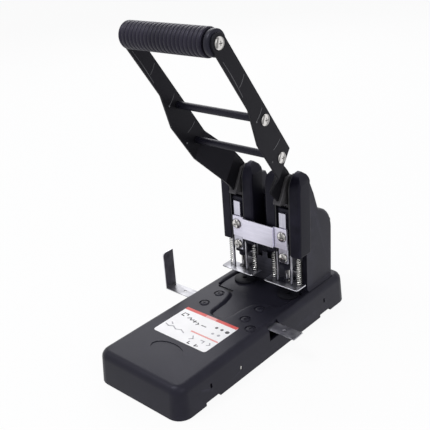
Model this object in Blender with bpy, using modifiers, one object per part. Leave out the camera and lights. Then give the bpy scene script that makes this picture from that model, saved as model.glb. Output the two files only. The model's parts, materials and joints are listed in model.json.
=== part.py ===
# Heavy duty two-hole paper punch. Metres, +Z up, paper enters from -Y, origin on the floor between the two holes.
import math

import bmesh
import bpy
from mathutils import Matrix, Vector

# Base, its cover standing clear of the floor on a tray with four pads
BASE_WIDTH = 0.1533
BASE_LENGTH = 0.3635
BASE_HEIGHT = 0.045
BASE_X = -0.0035
BASE_CORNER_RADIUS = 0.0195
BASE_EDGE_RADIUS = 0.0105
BASE_DRAFT = 0.0025
BASE_SIDE_WALL = 0.0055
BASE_TOP_WALL = 0.006
COVER_STAND = 0.002
FOOT_RADIUS = 0.010
FOOT_INSET = 0.026
FOOT_THICKNESS = 0.0013
TRAY_STAND = 0.0005
TRAY_FLOOR = 0.0024
TRAY_RIM_HEIGHT = 0.009
TRAY_WALL = 0.0015
SKIRT_NOTCH_LENGTH = 0.026
SKIRT_NOTCH_HEIGHT = 0.004
SKIRT_NOTCH_INSET = 0.0585
SIDE_HOLE_WIDTH = 0.0034
SIDE_HOLE_TALL = 0.0066
SIDE_HOLE_FRONT_INSET = 0.0575
SIDE_HOLE_MIDDLE_INSET = 0.1141
SIDE_HOLE_REAR_INSET = 0.0594
SIDE_HOLE_UPPER_HEIGHT = 0.022
SIDE_HOLE_LOWER_HEIGHT = 0.0155
BADGE_LENGTH = 0.030
BADGE_WIDTH = 0.052
BADGE_INSET = 0.0578
BADGE_DEPTH = 0.0008
LABEL_WIDTH = 0.0935
LABEL_LENGTH = 0.0685
LABEL_SHIFT = -0.00175
LABEL_LEAD = 0.072
LABEL_CORNER_RADIUS = 0.004
LABEL_THICKNESS = 0.0005
LABEL_RECESS = 0.0006
SCALE_SLOT_LENGTH = 0.0255
SCALE_SLOT_WIDTH = 0.0066
SCALE_SLOT_SHIFT = -0.0405
SCALE_SLOT_LEAD = 0.0303
SCALE_SLOT_DEPTH = 0.0042

# Paper funnel pressed into the cover's top, given as shares of its half width and its length from the backstop
FUNNEL_DEPTH = 0.003
FUNNEL_HALF_WIDTH = 0.057
FUNNEL_LENGTH = 0.1135
FUNNEL_SHARES = ((0.22, 1.0), (0.245, 0.72), (0.35, 0.515), (0.53, 0.44), (1.0, 0.42))

# Screws that hold the guide and the chassis plate, each in a round recess
SEAT_RADIUS = 0.008
SEAT_DEPTH = 0.0012
BASE_SCREW_HEAD_RADIUS = 0.0062
BASE_SCREW_HEAD_HEIGHT = 0.0016
GUIDE_SCREW_X = 0.0372
GUIDE_SCREW_OFFSET = 0.0158
SIDE_SCREW_X = 0.0577
SIDE_SCREW_LEAD = 0.0301

# Gauge
GAUGE_LEAD = 0.0648
GAUGE_WIDTH = 0.020
GAUGE_THICKNESS = 0.0015
GAUGE_LEFT_REACH = 0.124
GAUGE_RIGHT_REACH = 0.110
GAUGE_BLADE_HEIGHT = 0.0595
GAUGE_CORNER_CUT = 0.0045
GAUGE_HOLE_RADIUS = 0.0022
GAUGE_HOLE_RIGHT_X = 0.087
GAUGE_HOLE_LEFT_X = -0.094
GAUGE_NOTCH_WIDTH = 0.022
GAUGE_NOTCH_HEIGHT = 0.023
GAUGE_NOTCH_DEPTH = 0.0079
GUIDE_HALF_LENGTH = 0.050
GUIDE_FLANGE = 0.011
GUIDE_FLOOR = 0.002

# Punching heads
HOLE_SPACING = 0.080
HEAD_SETBACK = 0.1117
PIN_SETBACK = 0.009
PIN_RADIUS = 0.00325
SLOT_WIDTH = 0.0214
FRAME_SHEET = 0.002
COLUMN_WIDTH = 0.016
COLUMN_DEPTH = 0.027
COLUMN_WALL = 0.0022
COLUMN_EDGE_RADIUS = 0.0035
COLUMN_DOME_RADIUS = 0.020
COLUMN_LIFT = 0.065
COLUMN_HEIGHT = 0.120
COLUMN_SHARES = ((0.0, 0.0), (0.0, 0.808), (0.074, 0.892), (0.17, 0.935), (0.30, 0.970), (0.50, 0.995),
                 (0.74, 1.0), (0.90, 0.965), (1.0, 0.90), (1.0, 0.0))

# Frame channels, points as (share of frame depth, share of frame height)
FRAME_REAR_SETBACK = 0.0323
FRAME_DEPTH = 0.0825
FRAME_CROWN = 0.0588
FRAME_LEG = 0.0035
FRAME_SHOULDER_LIFT = 0.067
FRAME_BACK_SHARES = ((1.0, 0.0), (1.0, 0.51), (0.67, 0.60), (0.585, 0.645), (0.56, 0.69), (0.32, 0.925),
                     (0.25, 0.965), (0.14, 1.0), (0.05, 0.965), (0.0, 0.91))
FRAME_WEB_HEIGHT = 0.100
FRAME_WEB = 0.0022
FRAME_FOOT = 0.0025
GUIDE_WEB_TOP = 0.150

# Rear housing with a gable behind each head, points as (share of housing depth, share of housing height)
HOUSING_MARGIN = 0.0073
HOUSING_DEPTH = 0.0606
HOUSING_HEIGHT = 0.168
HOUSING_WALL = 0.0025
HOUSING_EDGE_RADIUS = 0.0045
GABLE_INNER_MARGIN = 0.0143
GABLE_INNER_RADIUS = 0.014
HOUSING_SHARES = ((0.0, 0.0), (0.0, 0.805), (0.33, 0.805), (0.457, 0.716), (0.513, 0.703), (0.675, 0.677),
                  (0.80, 0.652), (0.894, 0.619), (0.969, 0.583), (1.0, 0.553), (1.0, 0.0))
GABLE_SHARES = ((0.0, 0.62), (0.0, 1.0), (0.13, 0.995), (0.175, 0.965), (0.3135, 0.859), (0.457, 0.718),
                (0.55, 0.62))
FLARE_OUT = 0.003
FLARE_HEIGHT = 0.005
FLARE_SHARES = ((1.0, 0.0), (0.55, 0.20), (0.22, 0.50), (0.05, 0.80))
REAR_COVER_SHEET = 0.002
REAR_COVER_HEIGHT = 0.093
REAR_COVER_MARGIN = 0.002
REAR_OPENING_MARGIN = 0.014

# Stripper plates and throat
THROAT = 0.019
STRIPPER_SHEET = 0.0015
STRIPPER_INNER_REACH = 0.030
STRIPPER_OUTER_REACH = 0.0285
STRIPPER_CORNER = 0.004
STRIPPER_CORNER_SHARE = 0.3
STRIPPER_FRONT = 0.0096
STRIPPER_REAR = 0.012
STRIPPER_TONGUE = 0.016
STRIPPER_FLANGE = 0.013
BACKSTOP_OVERHANG = 0.0045
BACKSTOP_HEIGHT = 0.038
BACKSTOP_SHEET = 0.002
BACKSTOP_SETBACK = 0.0203
BACKSTOP_FOOT = 0.0045
TAB_WIDTH = 0.009
TAB_X = -0.0095
TAB_HEIGHT = 0.009

# Dies
DIE_RADIUS = 0.0155
DIE_THICKNESS = 0.0041
DIE_SEAT_DEPTH = 0.0014
CHIP_HOLE_RADIUS = 0.0048

# Slider: block, ears for the springs, face plate, band
SLIDER_TRAVEL = 0.023
BLOCK_SETBACK = 0.0043
BLOCK_DEPTH = 0.0135
BLOCK_LIFT = 0.045
BLOCK_HEIGHT = 0.0872
BOSS_RADIUS = 0.0062
BOSS_DROP = 0.006
EAR_DEPTH = 0.006
EAR_HEIGHT = 0.007
EAR_LIFT = 0.087
FACE_SHEET = 0.0041
FACE_WIDTH = 0.015
FACE_NECK_WIDTH = 0.011
FACE_LIFT = 0.052
FACE_HEIGHT = 0.075
FACE_NECK_LIFT = 0.054
BAND_SHEET = 0.0018
BAND_HEIGHT = 0.031
BAND_STEP_INSET = 0.013
BAND_EAR_OVERHANG = 0.0075
BAND_JOGGLE = 0.0038
BAND_LIFT = 0.074
BAND_EAR_CUT = 0.006
UPPER_SCREW_LIFT = 0.093
LOWER_SCREW_LIFT = 0.060
HEAD_SCREW_RADIUS = 0.0072

# Springs
SPRING_INNER_SHIFT = 0.022
SPRING_OUTER_SHIFT = 0.020
SPRING_RADIUS = 0.0034
SPRING_WIRE = 0.0011
SPRING_TURNS = 15
SPRING_POINTS = 8

# Handle
HANDLE_SWING = math.radians(50)
SHAFT_RADIUS = 0.006
SHAFT_OVERHANG = 0.0015
BUSH_WALL = 0.0015
HUB_SHIFT = 0.0015
HUB_THICKNESS = 0.012
HUB_BOSS_RADIUS = 0.011
NOSE_RADIUS = 0.004
ARM_REACH = 0.177
ARM_RISE = 0.2578
ARM_SHEET = 0.003
ARM_SPREAD = 0.0325
ARM_END_RADIUS = 0.0114
ARM_END_START = math.radians(35)
ARM_REAR_CORNER_SHARES = (0.331, 0.4177)
ARM_FRONT_FOLD_SHARES = (0.4628, 0.286)
ARM_KINK_SHARES = ((0.679, 0.4965), (0.757, 0.6755))
ARM_INNER_FOLD_SHARES = ((0.1915, 0.2905), (0.3288, 0.1493))
ARM_TONGUE_SHARES = ((0.228, 0.075), (0.180, 0.083), (0.085, 0.200), (0.125, 0.2385))
HUB_FRONT_SHARES = ((0.105, 0.2100), (0.1594, 0.2017), (0.2611, 0.0737), (0.2545, 0.0655), (0.195, 0.066))
HUB_REAR_SHARES = ((-0.022, 0.047), (0.072, 0.195))
HUB_NECK_SHARES = ((0.095, 0.044), (0.066, 0.008))
GRIP_RADIUS = 0.0167
GRIP_GROOVE = 0.0009
GRIP_RIBS = 21
GRIP_BORE = 0.0093
CORE_RADIUS = 0.009
COLLAR_RADIUS = 0.0152
COLLAR_WIDTH = 0.0062
COLLAR_GROOVE = 0.003
ROD_RADIUS = 0.0049
ROD_UPPER_SHARES = (0.5944, 0.604)
ROD_LOWER_SHARES = (0.4288, 0.3883)
ARM_SCREW_HEAD_RADIUS = 0.0075
ARM_SCREW_HEAD_HEIGHT = 0.0022

# Screws in general
SCREW_SHANK_RADIUS = 0.0025
SCREW_HEAD_HEIGHT = 0.0036
SCREW_GRIP = 0.008
HEAD_SCREW_GRIP = 0.012
CROSS_WIDTH = 0.0016
CROSS_LENGTH = 0.008
CROSS_DEPTH = 0.0014

# Fits
GAP = 0.0003
RUNNING_FIT = 0.00015
SCREW_FIT = 0.0003
PIN_FIT = 0.0003
SLIDE_FIT = 0.0006
OVERRUN = 0.002
CHASSIS_SHEET = 0.003
CHASSIS_HALF_WIDTH = 0.060
CHASSIS_LEAD = 0.040
CHASSIS_END_MARGIN = 0.0085
CARD_PROUD = 0.0002

# Sides on a round piece
TURN_STEPS = 16
CORNER_STEPS = 6
EDGE_STEPS = 4
DOME_STEPS = 6
SCREW_STEPS = 12
MERGE = 0.00001
SMOOTH_ANGLE = math.radians(35)

# Worked out from the sizes above
HALF_WIDTH = BASE_WIDTH / 2
HALF_LENGTH = BASE_LENGTH / 2
HEAD_FRONT_Y = HALF_LENGTH - HEAD_SETBACK
GAUGE_Y = HEAD_FRONT_Y - GAUGE_LEAD
LABEL_X = BASE_X + LABEL_SHIFT
LABEL_Y = GAUGE_Y - LABEL_LEAD
BADGE_Y = BADGE_INSET - HALF_LENGTH
SCALE_SLOT_X = BASE_X + SCALE_SLOT_SHIFT
SCALE_SLOT_Y = HEAD_FRONT_Y - SCALE_SLOT_LEAD
SIDE_HOLE_FRONT_Y = SIDE_HOLE_FRONT_INSET - HALF_LENGTH
SIDE_HOLE_MIDDLE_Y = SIDE_HOLE_MIDDLE_INSET - HALF_LENGTH
SIDE_HOLE_REAR_Y = HALF_LENGTH - SIDE_HOLE_REAR_INSET
BASE_TOP = COVER_STAND + BASE_HEIGHT
CEILING = BASE_TOP - BASE_TOP_WALL
FUNNEL_FLOOR = BASE_TOP - FUNNEL_DEPTH
STAND = BASE_TOP + GAP
HEAD_X = HOLE_SPACING / 2
HUB_X = HEAD_X - HUB_SHIFT
ARM_OUTER_X = HEAD_X + ARM_SPREAD
STRIPPER_INNER_X = HEAD_X - STRIPPER_INNER_REACH
STRIPPER_OUTER_X = HEAD_X + STRIPPER_OUTER_REACH
BACKSTOP_HALF_WIDTH = HEAD_X + BACKSTOP_OVERHANG
BAND_HALF_WIDTH = HEAD_X - BAND_STEP_INSET
BAND_EAR_REACH = HEAD_X + BAND_EAR_OVERHANG
PIN_Y = HEAD_FRONT_Y + PIN_SETBACK
BACKSTOP_Y = HEAD_FRONT_Y + BACKSTOP_SETBACK
FUNNEL_END_Y = BACKSTOP_Y - GAP
STRIPPER_BOTTOM = BASE_TOP + THROAT
STRIPPER_TOP = STRIPPER_BOTTOM + STRIPPER_SHEET
COLUMN_BOTTOM = BASE_TOP + COLUMN_LIFT
SLOT_INNER_X = HEAD_X - SLOT_WIDTH / 2
SLOT_OUTER_X = HEAD_X + SLOT_WIDTH / 2
FRAME_INNER_X = SLOT_INNER_X - FRAME_SHEET
GABLE_INNER_X = FRAME_INNER_X - GABLE_INNER_MARGIN
FRAME_OUTER_X = SLOT_OUTER_X + FRAME_SHEET
COLUMN_REAR_Y = HEAD_FRONT_Y + COLUMN_DEPTH
FRAME_FRONT_Y = HEAD_FRONT_Y + GAP
HOUSING_FRONT_Y = COLUMN_REAR_Y + GAP
HOUSING_REAR_Y = HOUSING_FRONT_Y + HOUSING_DEPTH
HOUSING_HALF_WIDTH = FRAME_OUTER_X + HOUSING_MARGIN
FRAME_REAR_Y = HEAD_FRONT_Y + FRAME_REAR_SETBACK
BLOCK_Y = HEAD_FRONT_Y + BLOCK_SETBACK
BLOCK_REAR_Y = BLOCK_Y + BLOCK_DEPTH
BLOCK_BOTTOM = BASE_TOP + BLOCK_LIFT
BLOCK_TOP = BLOCK_BOTTOM + BLOCK_HEIGHT
BOSS_BOTTOM = BLOCK_BOTTOM - BOSS_DROP
BLOCK_HALF_WIDTH = SLOT_WIDTH / 2 - SLIDE_FIT
EAR_BOTTOM = BASE_TOP + EAR_LIFT
EAR_TOP = EAR_BOTTOM + EAR_HEIGHT
SPRING_Y = BLOCK_Y + EAR_DEPTH / 2
SPRING_TUBE = SPRING_WIRE / 2
EAR_INNER_REACH = SPRING_INNER_SHIFT + SPRING_RADIUS + SPRING_TUBE
EAR_OUTER_REACH = SPRING_OUTER_SHIFT + SPRING_RADIUS + SPRING_TUBE
FACE_Y = BLOCK_Y - GAP - FACE_SHEET
FACE_BOTTOM = BASE_TOP + FACE_LIFT
BAND_Y = FACE_Y - GAP - BAND_SHEET
BAND_BOTTOM = BASE_TOP + BAND_LIFT
NOSE_REACH = SLIDER_TRAVEL / (2 * math.sin(HANDLE_SWING / 2))
PIVOT_Y = PIN_Y + NOSE_REACH
NOSE_Y = PIVOT_Y - NOSE_REACH * math.cos(HANDLE_SWING / 2)
NOSE_Z = BLOCK_TOP + GAP + NOSE_RADIUS
PIVOT_Z = NOSE_Z - NOSE_REACH * math.sin(HANDLE_SWING / 2)
FRAME_HEIGHT = PIVOT_Z + FRAME_CROWN - STAND
BUSH_INNER = SHAFT_RADIUS + RUNNING_FIT
BUSH_OUTER = BUSH_INNER + BUSH_WALL
ARM_INNER_X = ARM_OUTER_X - ARM_SHEET
TONGUE_OUTER_X = HUB_X + ARM_SHEET / 2
GAUGE_TOP = CEILING - GAP
GAUGE_BOTTOM = GAUGE_TOP - GAUGE_THICKNESS
GRIP_Y = PIVOT_Y - ARM_REACH
GRIP_Z = PIVOT_Z + ARM_RISE
SIDES = (("left", -1), ("right", 1))


def new_collection(name):
    collection = bpy.data.collections.new(name)
    bpy.context.scene.collection.children.link(collection)
    return collection


def paint(name, color, roughness, metallic):
    material = bpy.data.materials.new(name)
    material.use_nodes = True
    shader = material.node_tree.nodes["Principled BSDF"]
    shader.inputs["Base Color"].default_value = (*color, 1.0)
    shader.inputs["Roughness"].default_value = roughness
    shader.inputs["Metallic"].default_value = metallic
    return material


for old in list(bpy.data.objects):
    bpy.data.objects.remove(old)
PARTS = new_collection("paper_punch")
CUTTERS = new_collection("cutters")
BLACK = ("satin_black", (0.020, 0.020, 0.024), 0.42, 0.0)
RUBBER = ("rubber", (0.012, 0.012, 0.016), 0.65, 0.0)
DARK_STEEL = ("dark_steel", (0.05, 0.05, 0.06), 0.45, 0.8)
BRIGHT_STEEL = ("bright_steel", (0.62, 0.61, 0.68), 0.3, 1.0)
NICKEL = ("nickel", (0.75, 0.73, 0.70), 0.2, 1.0)
BRONZE = ("bronze", (0.45, 0.30, 0.14), 0.35, 1.0)
CARD = ("card", (0.85, 0.84, 0.84), 0.5, 0.0)


def link(mesh, name):
    piece = bpy.data.objects.new(name, mesh)
    PARTS.objects.link(piece)
    return piece


def name_part(piece, name, finish):
    """Give a finished piece its node name, its own material and smooth shading with sharp edges kept."""
    piece.name = name
    piece.data.materials.clear()
    piece.data.materials.append(paint(name + "_" + finish[0], *finish[1:]))
    piece.data.shade_smooth()
    piece.data.set_sharp_from_angle(angle=SMOOTH_ANGLE)
    return piece


def merge_flat_faces(mesh):
    """Weld the curve's loose caps and join its triangles into whole faces."""
    work = bmesh.new()
    work.from_mesh(mesh)
    bmesh.ops.remove_doubles(work, verts=work.verts, dist=MERGE)
    bmesh.ops.dissolve_limit(work, angle_limit=math.radians(0.5), verts=work.verts, edges=work.edges)
    bmesh.ops.recalc_face_normals(work, faces=work.faces)
    work.to_mesh(mesh)
    work.free()


def curve_to_mesh(curve_object):
    """Turn a curve into a welded mesh object and remove the curve."""
    bpy.context.view_layer.update()
    graph = bpy.context.evaluated_depsgraph_get()
    mesh = bpy.data.meshes.new_from_object(curve_object.evaluated_get(graph))
    piece = link(mesh, curve_object.name)
    piece.matrix_world = curve_object.matrix_world.copy()
    bpy.data.objects.remove(curve_object)
    return piece


def slab(outline, start, end, across="Z"):
    """Extrude a flat outline along X, Y or Z; its points give the other two coordinates in that order."""
    curve = bpy.data.curves.new("slab", "CURVE")
    curve.dimensions = "2D"
    curve.fill_mode = "BOTH"
    curve.extrude = abs(end - start) / 2
    spline = curve.splines.new("POLY")
    spline.points.add(len(outline) - 1)
    for point, place in zip(spline.points, outline):
        point.co = (place[0], place[1], 0, 1)
    spline.use_cyclic_u = True
    drawn = bpy.data.objects.new("slab", curve)
    PARTS.objects.link(drawn)
    piece = curve_to_mesh(drawn)
    middle = (start + end) / 2
    for vertex in piece.data.vertices:
        u, v, w = vertex.co
        if across == "Z":
            vertex.co = (u, v, middle + w)
        elif across == "X":
            vertex.co = (middle + w, u, v)
        else:
            vertex.co = (u, middle + w, v)
    merge_flat_faces(piece.data)
    return piece


def block(low, high):
    """A box between two corners."""
    work = bmesh.new()
    bmesh.ops.create_cube(work, size=1)
    for vertex in work.verts:
        vertex.co = [a + (b - a) * (c + 0.5) for a, b, c in zip(low, high, vertex.co)]
    mesh = bpy.data.meshes.new("block")
    work.to_mesh(mesh)
    work.free()
    return link(mesh, "block")


def stacked(rings):
    """A solid through level outlines with equal counts of points, each with its height, lowest first."""
    work = bmesh.new()
    levels = [[work.verts.new((x, y, height)) for x, y in outline] for outline, height in rings]
    count = len(levels[0])
    for lower, upper in zip(levels, levels[1:]):
        for i in range(count):
            j = (i + 1) % count
            work.faces.new((lower[i], lower[j], upper[j], upper[i]))
    work.faces.new(levels[0])
    work.faces.new(levels[-1])
    bmesh.ops.recalc_face_normals(work, faces=work.faces)
    mesh = bpy.data.meshes.new("stacked")
    work.to_mesh(mesh)
    work.free()
    return link(mesh, "stacked")


def turned(profile, place, along="Z", steps=TURN_STEPS):
    """Turn a profile of (radius, height), listed downwards on its outer side, about an axis through place."""
    mesh = bpy.data.meshes.new("turned")
    closed = profile[0][0] > 0
    count = len(profile)
    edges = [(i, i + 1) for i in range(count - 1)]
    if closed:
        edges.append((count - 1, 0))
    mesh.from_pydata([(radius, 0, height) for radius, height in profile], edges, [])
    piece = link(mesh, "turned")
    screw = piece.modifiers.new("turn", "SCREW")
    screw.steps = steps
    screw.render_steps = steps
    screw.use_merge_vertices = True
    screw.merge_threshold = MERGE
    solid = bake(piece)
    for vertex in solid.data.vertices:
        x, y, z = vertex.co
        if along == "X":
            vertex.co = (z, y, -x)
        elif along == "Y":
            vertex.co = (x, z, -y)
    solid.data.transform(Matrix.Translation(Vector(place)))
    return solid


def rod(radius, start, end, place, along="Z", steps=TURN_STEPS):
    """A plain round bar from start to end along its axis; place gives the axis's other coordinates."""
    return turned([(0, end), (radius, end), (radius, start), (0, start)], place, along, steps)


def bake(piece):
    """Apply every modifier of a piece."""
    bpy.context.view_layer.update()
    graph = bpy.context.evaluated_depsgraph_get()
    mesh = bpy.data.meshes.new_from_object(piece.evaluated_get(graph))
    solid = link(mesh, piece.name)
    bpy.data.objects.remove(piece)
    return solid


def combine(piece, other, operation="DIFFERENCE"):
    """Cut or join with a second solid, which stays hidden among the cutters."""
    for collection in list(other.users_collection):
        collection.objects.unlink(other)
    CUTTERS.objects.link(other)
    other.hide_render = True
    other.display_type = "WIRE"
    boolean = piece.modifiers.new(operation.lower(), "BOOLEAN")
    boolean.operation = operation
    boolean.solver = "EXACT"
    boolean.object = other
    return piece


def round_edges(piece, chosen, width, segments):
    """Bevel the edges whose two ends both pass the test."""
    work = bmesh.new()
    work.from_mesh(piece.data)
    edges = [e for e in work.edges if all(chosen(v.co) for v in e.verts)]
    bmesh.ops.bevel(work, geom=edges, offset=width, segments=segments, profile=0.5, affect="EDGES",
                    clamp_overlap=True)
    bmesh.ops.remove_doubles(work, verts=work.verts, dist=MERGE)
    work.to_mesh(piece.data)
    work.free()
    return piece


def rounded_rectangle(half_x, half_y, radius, steps=5, center=(0, 0)):
    points = []
    for quarter, (sx, sy) in enumerate(((1, 1), (-1, 1), (-1, -1), (1, -1))):
        for step in range(steps + 1):
            angle = math.pi / 2 * (quarter + step / steps)
            x = sx * (half_x - radius) + radius * math.cos(angle)
            y = sy * (half_y - radius) + radius * math.sin(angle)
            points.append((center[0] + x, center[1] + y))
    return points


def inset(outline, distance):
    """Move an outline inwards by the same distance all round."""
    area = sum(a[0] * b[1] - b[0] * a[1] for a, b in zip(outline, outline[1:] + outline[:1]))
    turn = 1 if area > 0 else -1
    moved = []
    for index, here in enumerate(outline):
        before = Vector(outline[index - 1])
        after = Vector(outline[(index + 1) % len(outline)])
        point = Vector(here)
        first = (point - before).normalized()
        second = (after - point).normalized()
        normal_a = Vector((-first.y, first.x)) * turn
        normal_b = Vector((-second.y, second.x)) * turn
        bisector = (normal_a + normal_b).normalized()
        moved.append(tuple(point + bisector * distance / max(bisector.dot(normal_a), MERGE)))
    return moved


def mirror_outline(half):
    """Complete an outline given on its +X side."""
    return half + [(-x, y) for x, y in reversed(half)]


def tube(points, radius, name):
    """A wire along a list of points."""
    curve = bpy.data.curves.new(name, "CURVE")
    curve.dimensions = "3D"
    curve.bevel_depth = radius
    curve.bevel_resolution = 1
    curve.use_fill_caps = True
    spline = curve.splines.new("POLY")
    spline.points.add(len(points) - 1)
    for point, place in zip(spline.points, points):
        point.co = (*place, 1)
    drawn = bpy.data.objects.new(name, curve)
    PARTS.objects.link(drawn)
    piece = curve_to_mesh(drawn)
    work = bmesh.new()
    work.from_mesh(piece.data)
    bmesh.ops.remove_doubles(work, verts=work.verts, dist=MERGE)
    bmesh.ops.recalc_face_normals(work, faces=work.faces)
    work.to_mesh(piece.data)
    work.free()
    return piece


def handle_point(shares):
    """A place on the handle in the YZ plane, from its shares of the arm's reach and rise."""
    return (PIVOT_Y - shares[0] * ARM_REACH, PIVOT_Z + shares[1] * ARM_RISE)


def pan_screw(name, place, along, facing, head_radius, grip=SCREW_GRIP, head_height=SCREW_HEAD_HEIGHT,
              finish=NICKEL):
    """A pan-head cross screw; place is the seat under its head, and facing is +1 or -1 along the axis."""
    profile = [(0, head_height), (head_radius * 0.55, head_height * 0.93), (head_radius * 0.88, head_height * 0.6),
               (head_radius, head_height * 0.2), (head_radius, 0), (SCREW_SHANK_RADIUS, 0),
               (SCREW_SHANK_RADIUS, -grip), (0, -grip)]
    if facing < 0:
        profile = [(radius, -height) for radius, height in reversed(profile)]
    piece = turned(profile, place, along, SCREW_STEPS)
    axis = "XYZ".index(along)
    for turned_by in (0, 1):
        low = [value - CROSS_WIDTH / 2 for value in place]
        high = [value + CROSS_WIDTH / 2 for value in place]
        long_axis = (axis + 1 + turned_by) % 3
        low[long_axis] = place[long_axis] - CROSS_LENGTH / 2
        high[long_axis] = place[long_axis] + CROSS_LENGTH / 2
        near = place[axis] + facing * (head_height - CROSS_DEPTH)
        far = place[axis] + facing * (head_height + OVERRUN)
        low[axis] = min(near, far)
        high[axis] = max(near, far)
        combine(piece, block(low, high))
    return name_part(piece, name, finish)


def base_outline(wall):
    """The base's outline at its foot, moved inwards by a wall."""
    radius = BASE_CORNER_RADIUS - wall
    return rounded_rectangle(HALF_WIDTH - wall, HALF_LENGTH - wall, radius, CORNER_STEPS, (BASE_X, 0))


def make_base_cover():
    rings = [(base_outline(0), COVER_STAND)]
    for step in range(EDGE_STEPS + 1):
        angle = math.pi / 2 * step / EDGE_STEPS
        inwards = BASE_DRAFT + BASE_EDGE_RADIUS * (1 - math.cos(angle))
        rings.append((base_outline(inwards), BASE_TOP - BASE_EDGE_RADIUS * (1 - math.sin(angle))))
    cover = stacked(rings)
    combine(cover, slab(base_outline(BASE_SIDE_WALL), COVER_STAND - OVERRUN, CEILING))
    half = [(a * FUNNEL_HALF_WIDTH, FUNNEL_END_Y - b * FUNNEL_LENGTH) for a, b in FUNNEL_SHARES]
    half.append((FUNNEL_HALF_WIDTH, FUNNEL_END_Y))
    funnel = [(BASE_X + x, y) for x, y in mirror_outline(half)]
    combine(cover, slab(funnel, FUNNEL_FLOOR, BASE_TOP + OVERRUN))
    for side in (-1, 1):
        seat = FUNNEL_FLOOR - DIE_SEAT_DEPTH
        combine(cover, turned([(0, BASE_TOP), (DIE_RADIUS + GAP, BASE_TOP), (DIE_RADIUS + GAP, seat),
                               (CHIP_HOLE_RADIUS, seat), (CHIP_HOLE_RADIUS, CEILING - OVERRUN),
                               (0, CEILING - OVERRUN)], (side * HEAD_X, PIN_Y, 0)))
    label = rounded_rectangle(LABEL_WIDTH / 2 + GAP, LABEL_LENGTH / 2 + GAP, LABEL_CORNER_RADIUS, 3,
                              (LABEL_X, LABEL_Y))
    combine(cover, slab(label, BASE_TOP - LABEL_RECESS, BASE_TOP + OVERRUN))
    combine(cover, slab([(BASE_X + BADGE_WIDTH / 2 * math.cos(a), BADGE_Y + BADGE_LENGTH / 2 * math.sin(a))
                         for a in [math.tau * i / TURN_STEPS for i in range(TURN_STEPS)]],
                        BASE_TOP - BADGE_DEPTH, BASE_TOP + OVERRUN))
    slot = rounded_rectangle(SCALE_SLOT_LENGTH / 2, SCALE_SLOT_WIDTH / 2, SCALE_SLOT_WIDTH / 3, 3,
                             (SCALE_SLOT_X, SCALE_SLOT_Y))
    combine(cover, slab(slot, BASE_TOP - SCALE_SLOT_DEPTH, BASE_TOP + OVERRUN))
    for x, y in base_screw_places():
        combine(cover, rod(SEAT_RADIUS, BASE_TOP - SEAT_DEPTH, BASE_TOP + OVERRUN, (x, y, 0)))
        combine(cover, rod(SCREW_SHANK_RADIUS + SCREW_FIT, CEILING - OVERRUN, BASE_TOP, (x, y, 0),
                           steps=SCREW_STEPS))
    for side in (-1, 1):
        near = BASE_X + side * (HALF_WIDTH - GAUGE_NOTCH_DEPTH)
        far = BASE_X + side * (HALF_WIDTH + OVERRUN)
        combine(cover, block((min(near, far), GAUGE_Y - GAUGE_NOTCH_WIDTH / 2, BASE_TOP - GAUGE_NOTCH_HEIGHT),
                             (max(near, far), GAUGE_Y + GAUGE_NOTCH_WIDTH / 2, BASE_TOP + OVERRUN)))
        for notch_y in (SKIRT_NOTCH_INSET - HALF_LENGTH, HALF_LENGTH - SKIRT_NOTCH_INSET):
            near = BASE_X + side * (HALF_WIDTH - BASE_SIDE_WALL - OVERRUN)
            combine(cover, block((min(near, far), notch_y - SKIRT_NOTCH_LENGTH / 2, COVER_STAND - OVERRUN),
                                 (max(near, far), notch_y + SKIRT_NOTCH_LENGTH / 2,
                                  COVER_STAND + SKIRT_NOTCH_HEIGHT)))
    for y, height in ((SIDE_HOLE_FRONT_Y, SIDE_HOLE_UPPER_HEIGHT), (SIDE_HOLE_MIDDLE_Y, SIDE_HOLE_LOWER_HEIGHT),
                      (SIDE_HOLE_REAR_Y, SIDE_HOLE_UPPER_HEIGHT)):
        hole = rounded_rectangle(SIDE_HOLE_WIDTH / 2, SIDE_HOLE_TALL / 2, SIDE_HOLE_WIDTH / 3, 2,
                                 (y, COVER_STAND + height))
        combine(cover, slab(hole, BASE_X - HALF_WIDTH - OVERRUN, BASE_X + HALF_WIDTH + OVERRUN, "X"))
    name_part(cover, "base_cover", BLACK)


def base_screw_places():
    front = GAUGE_Y - GUIDE_SCREW_OFFSET
    rear = GAUGE_Y + GUIDE_SCREW_OFFSET
    left = BASE_X - GUIDE_SCREW_X
    right = BASE_X + GUIDE_SCREW_X
    return [(left, front), (left, rear), (right, front), (right, rear),
            (BASE_X + SIDE_SCREW_X, GAUGE_Y - SIDE_SCREW_LEAD)]


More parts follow.
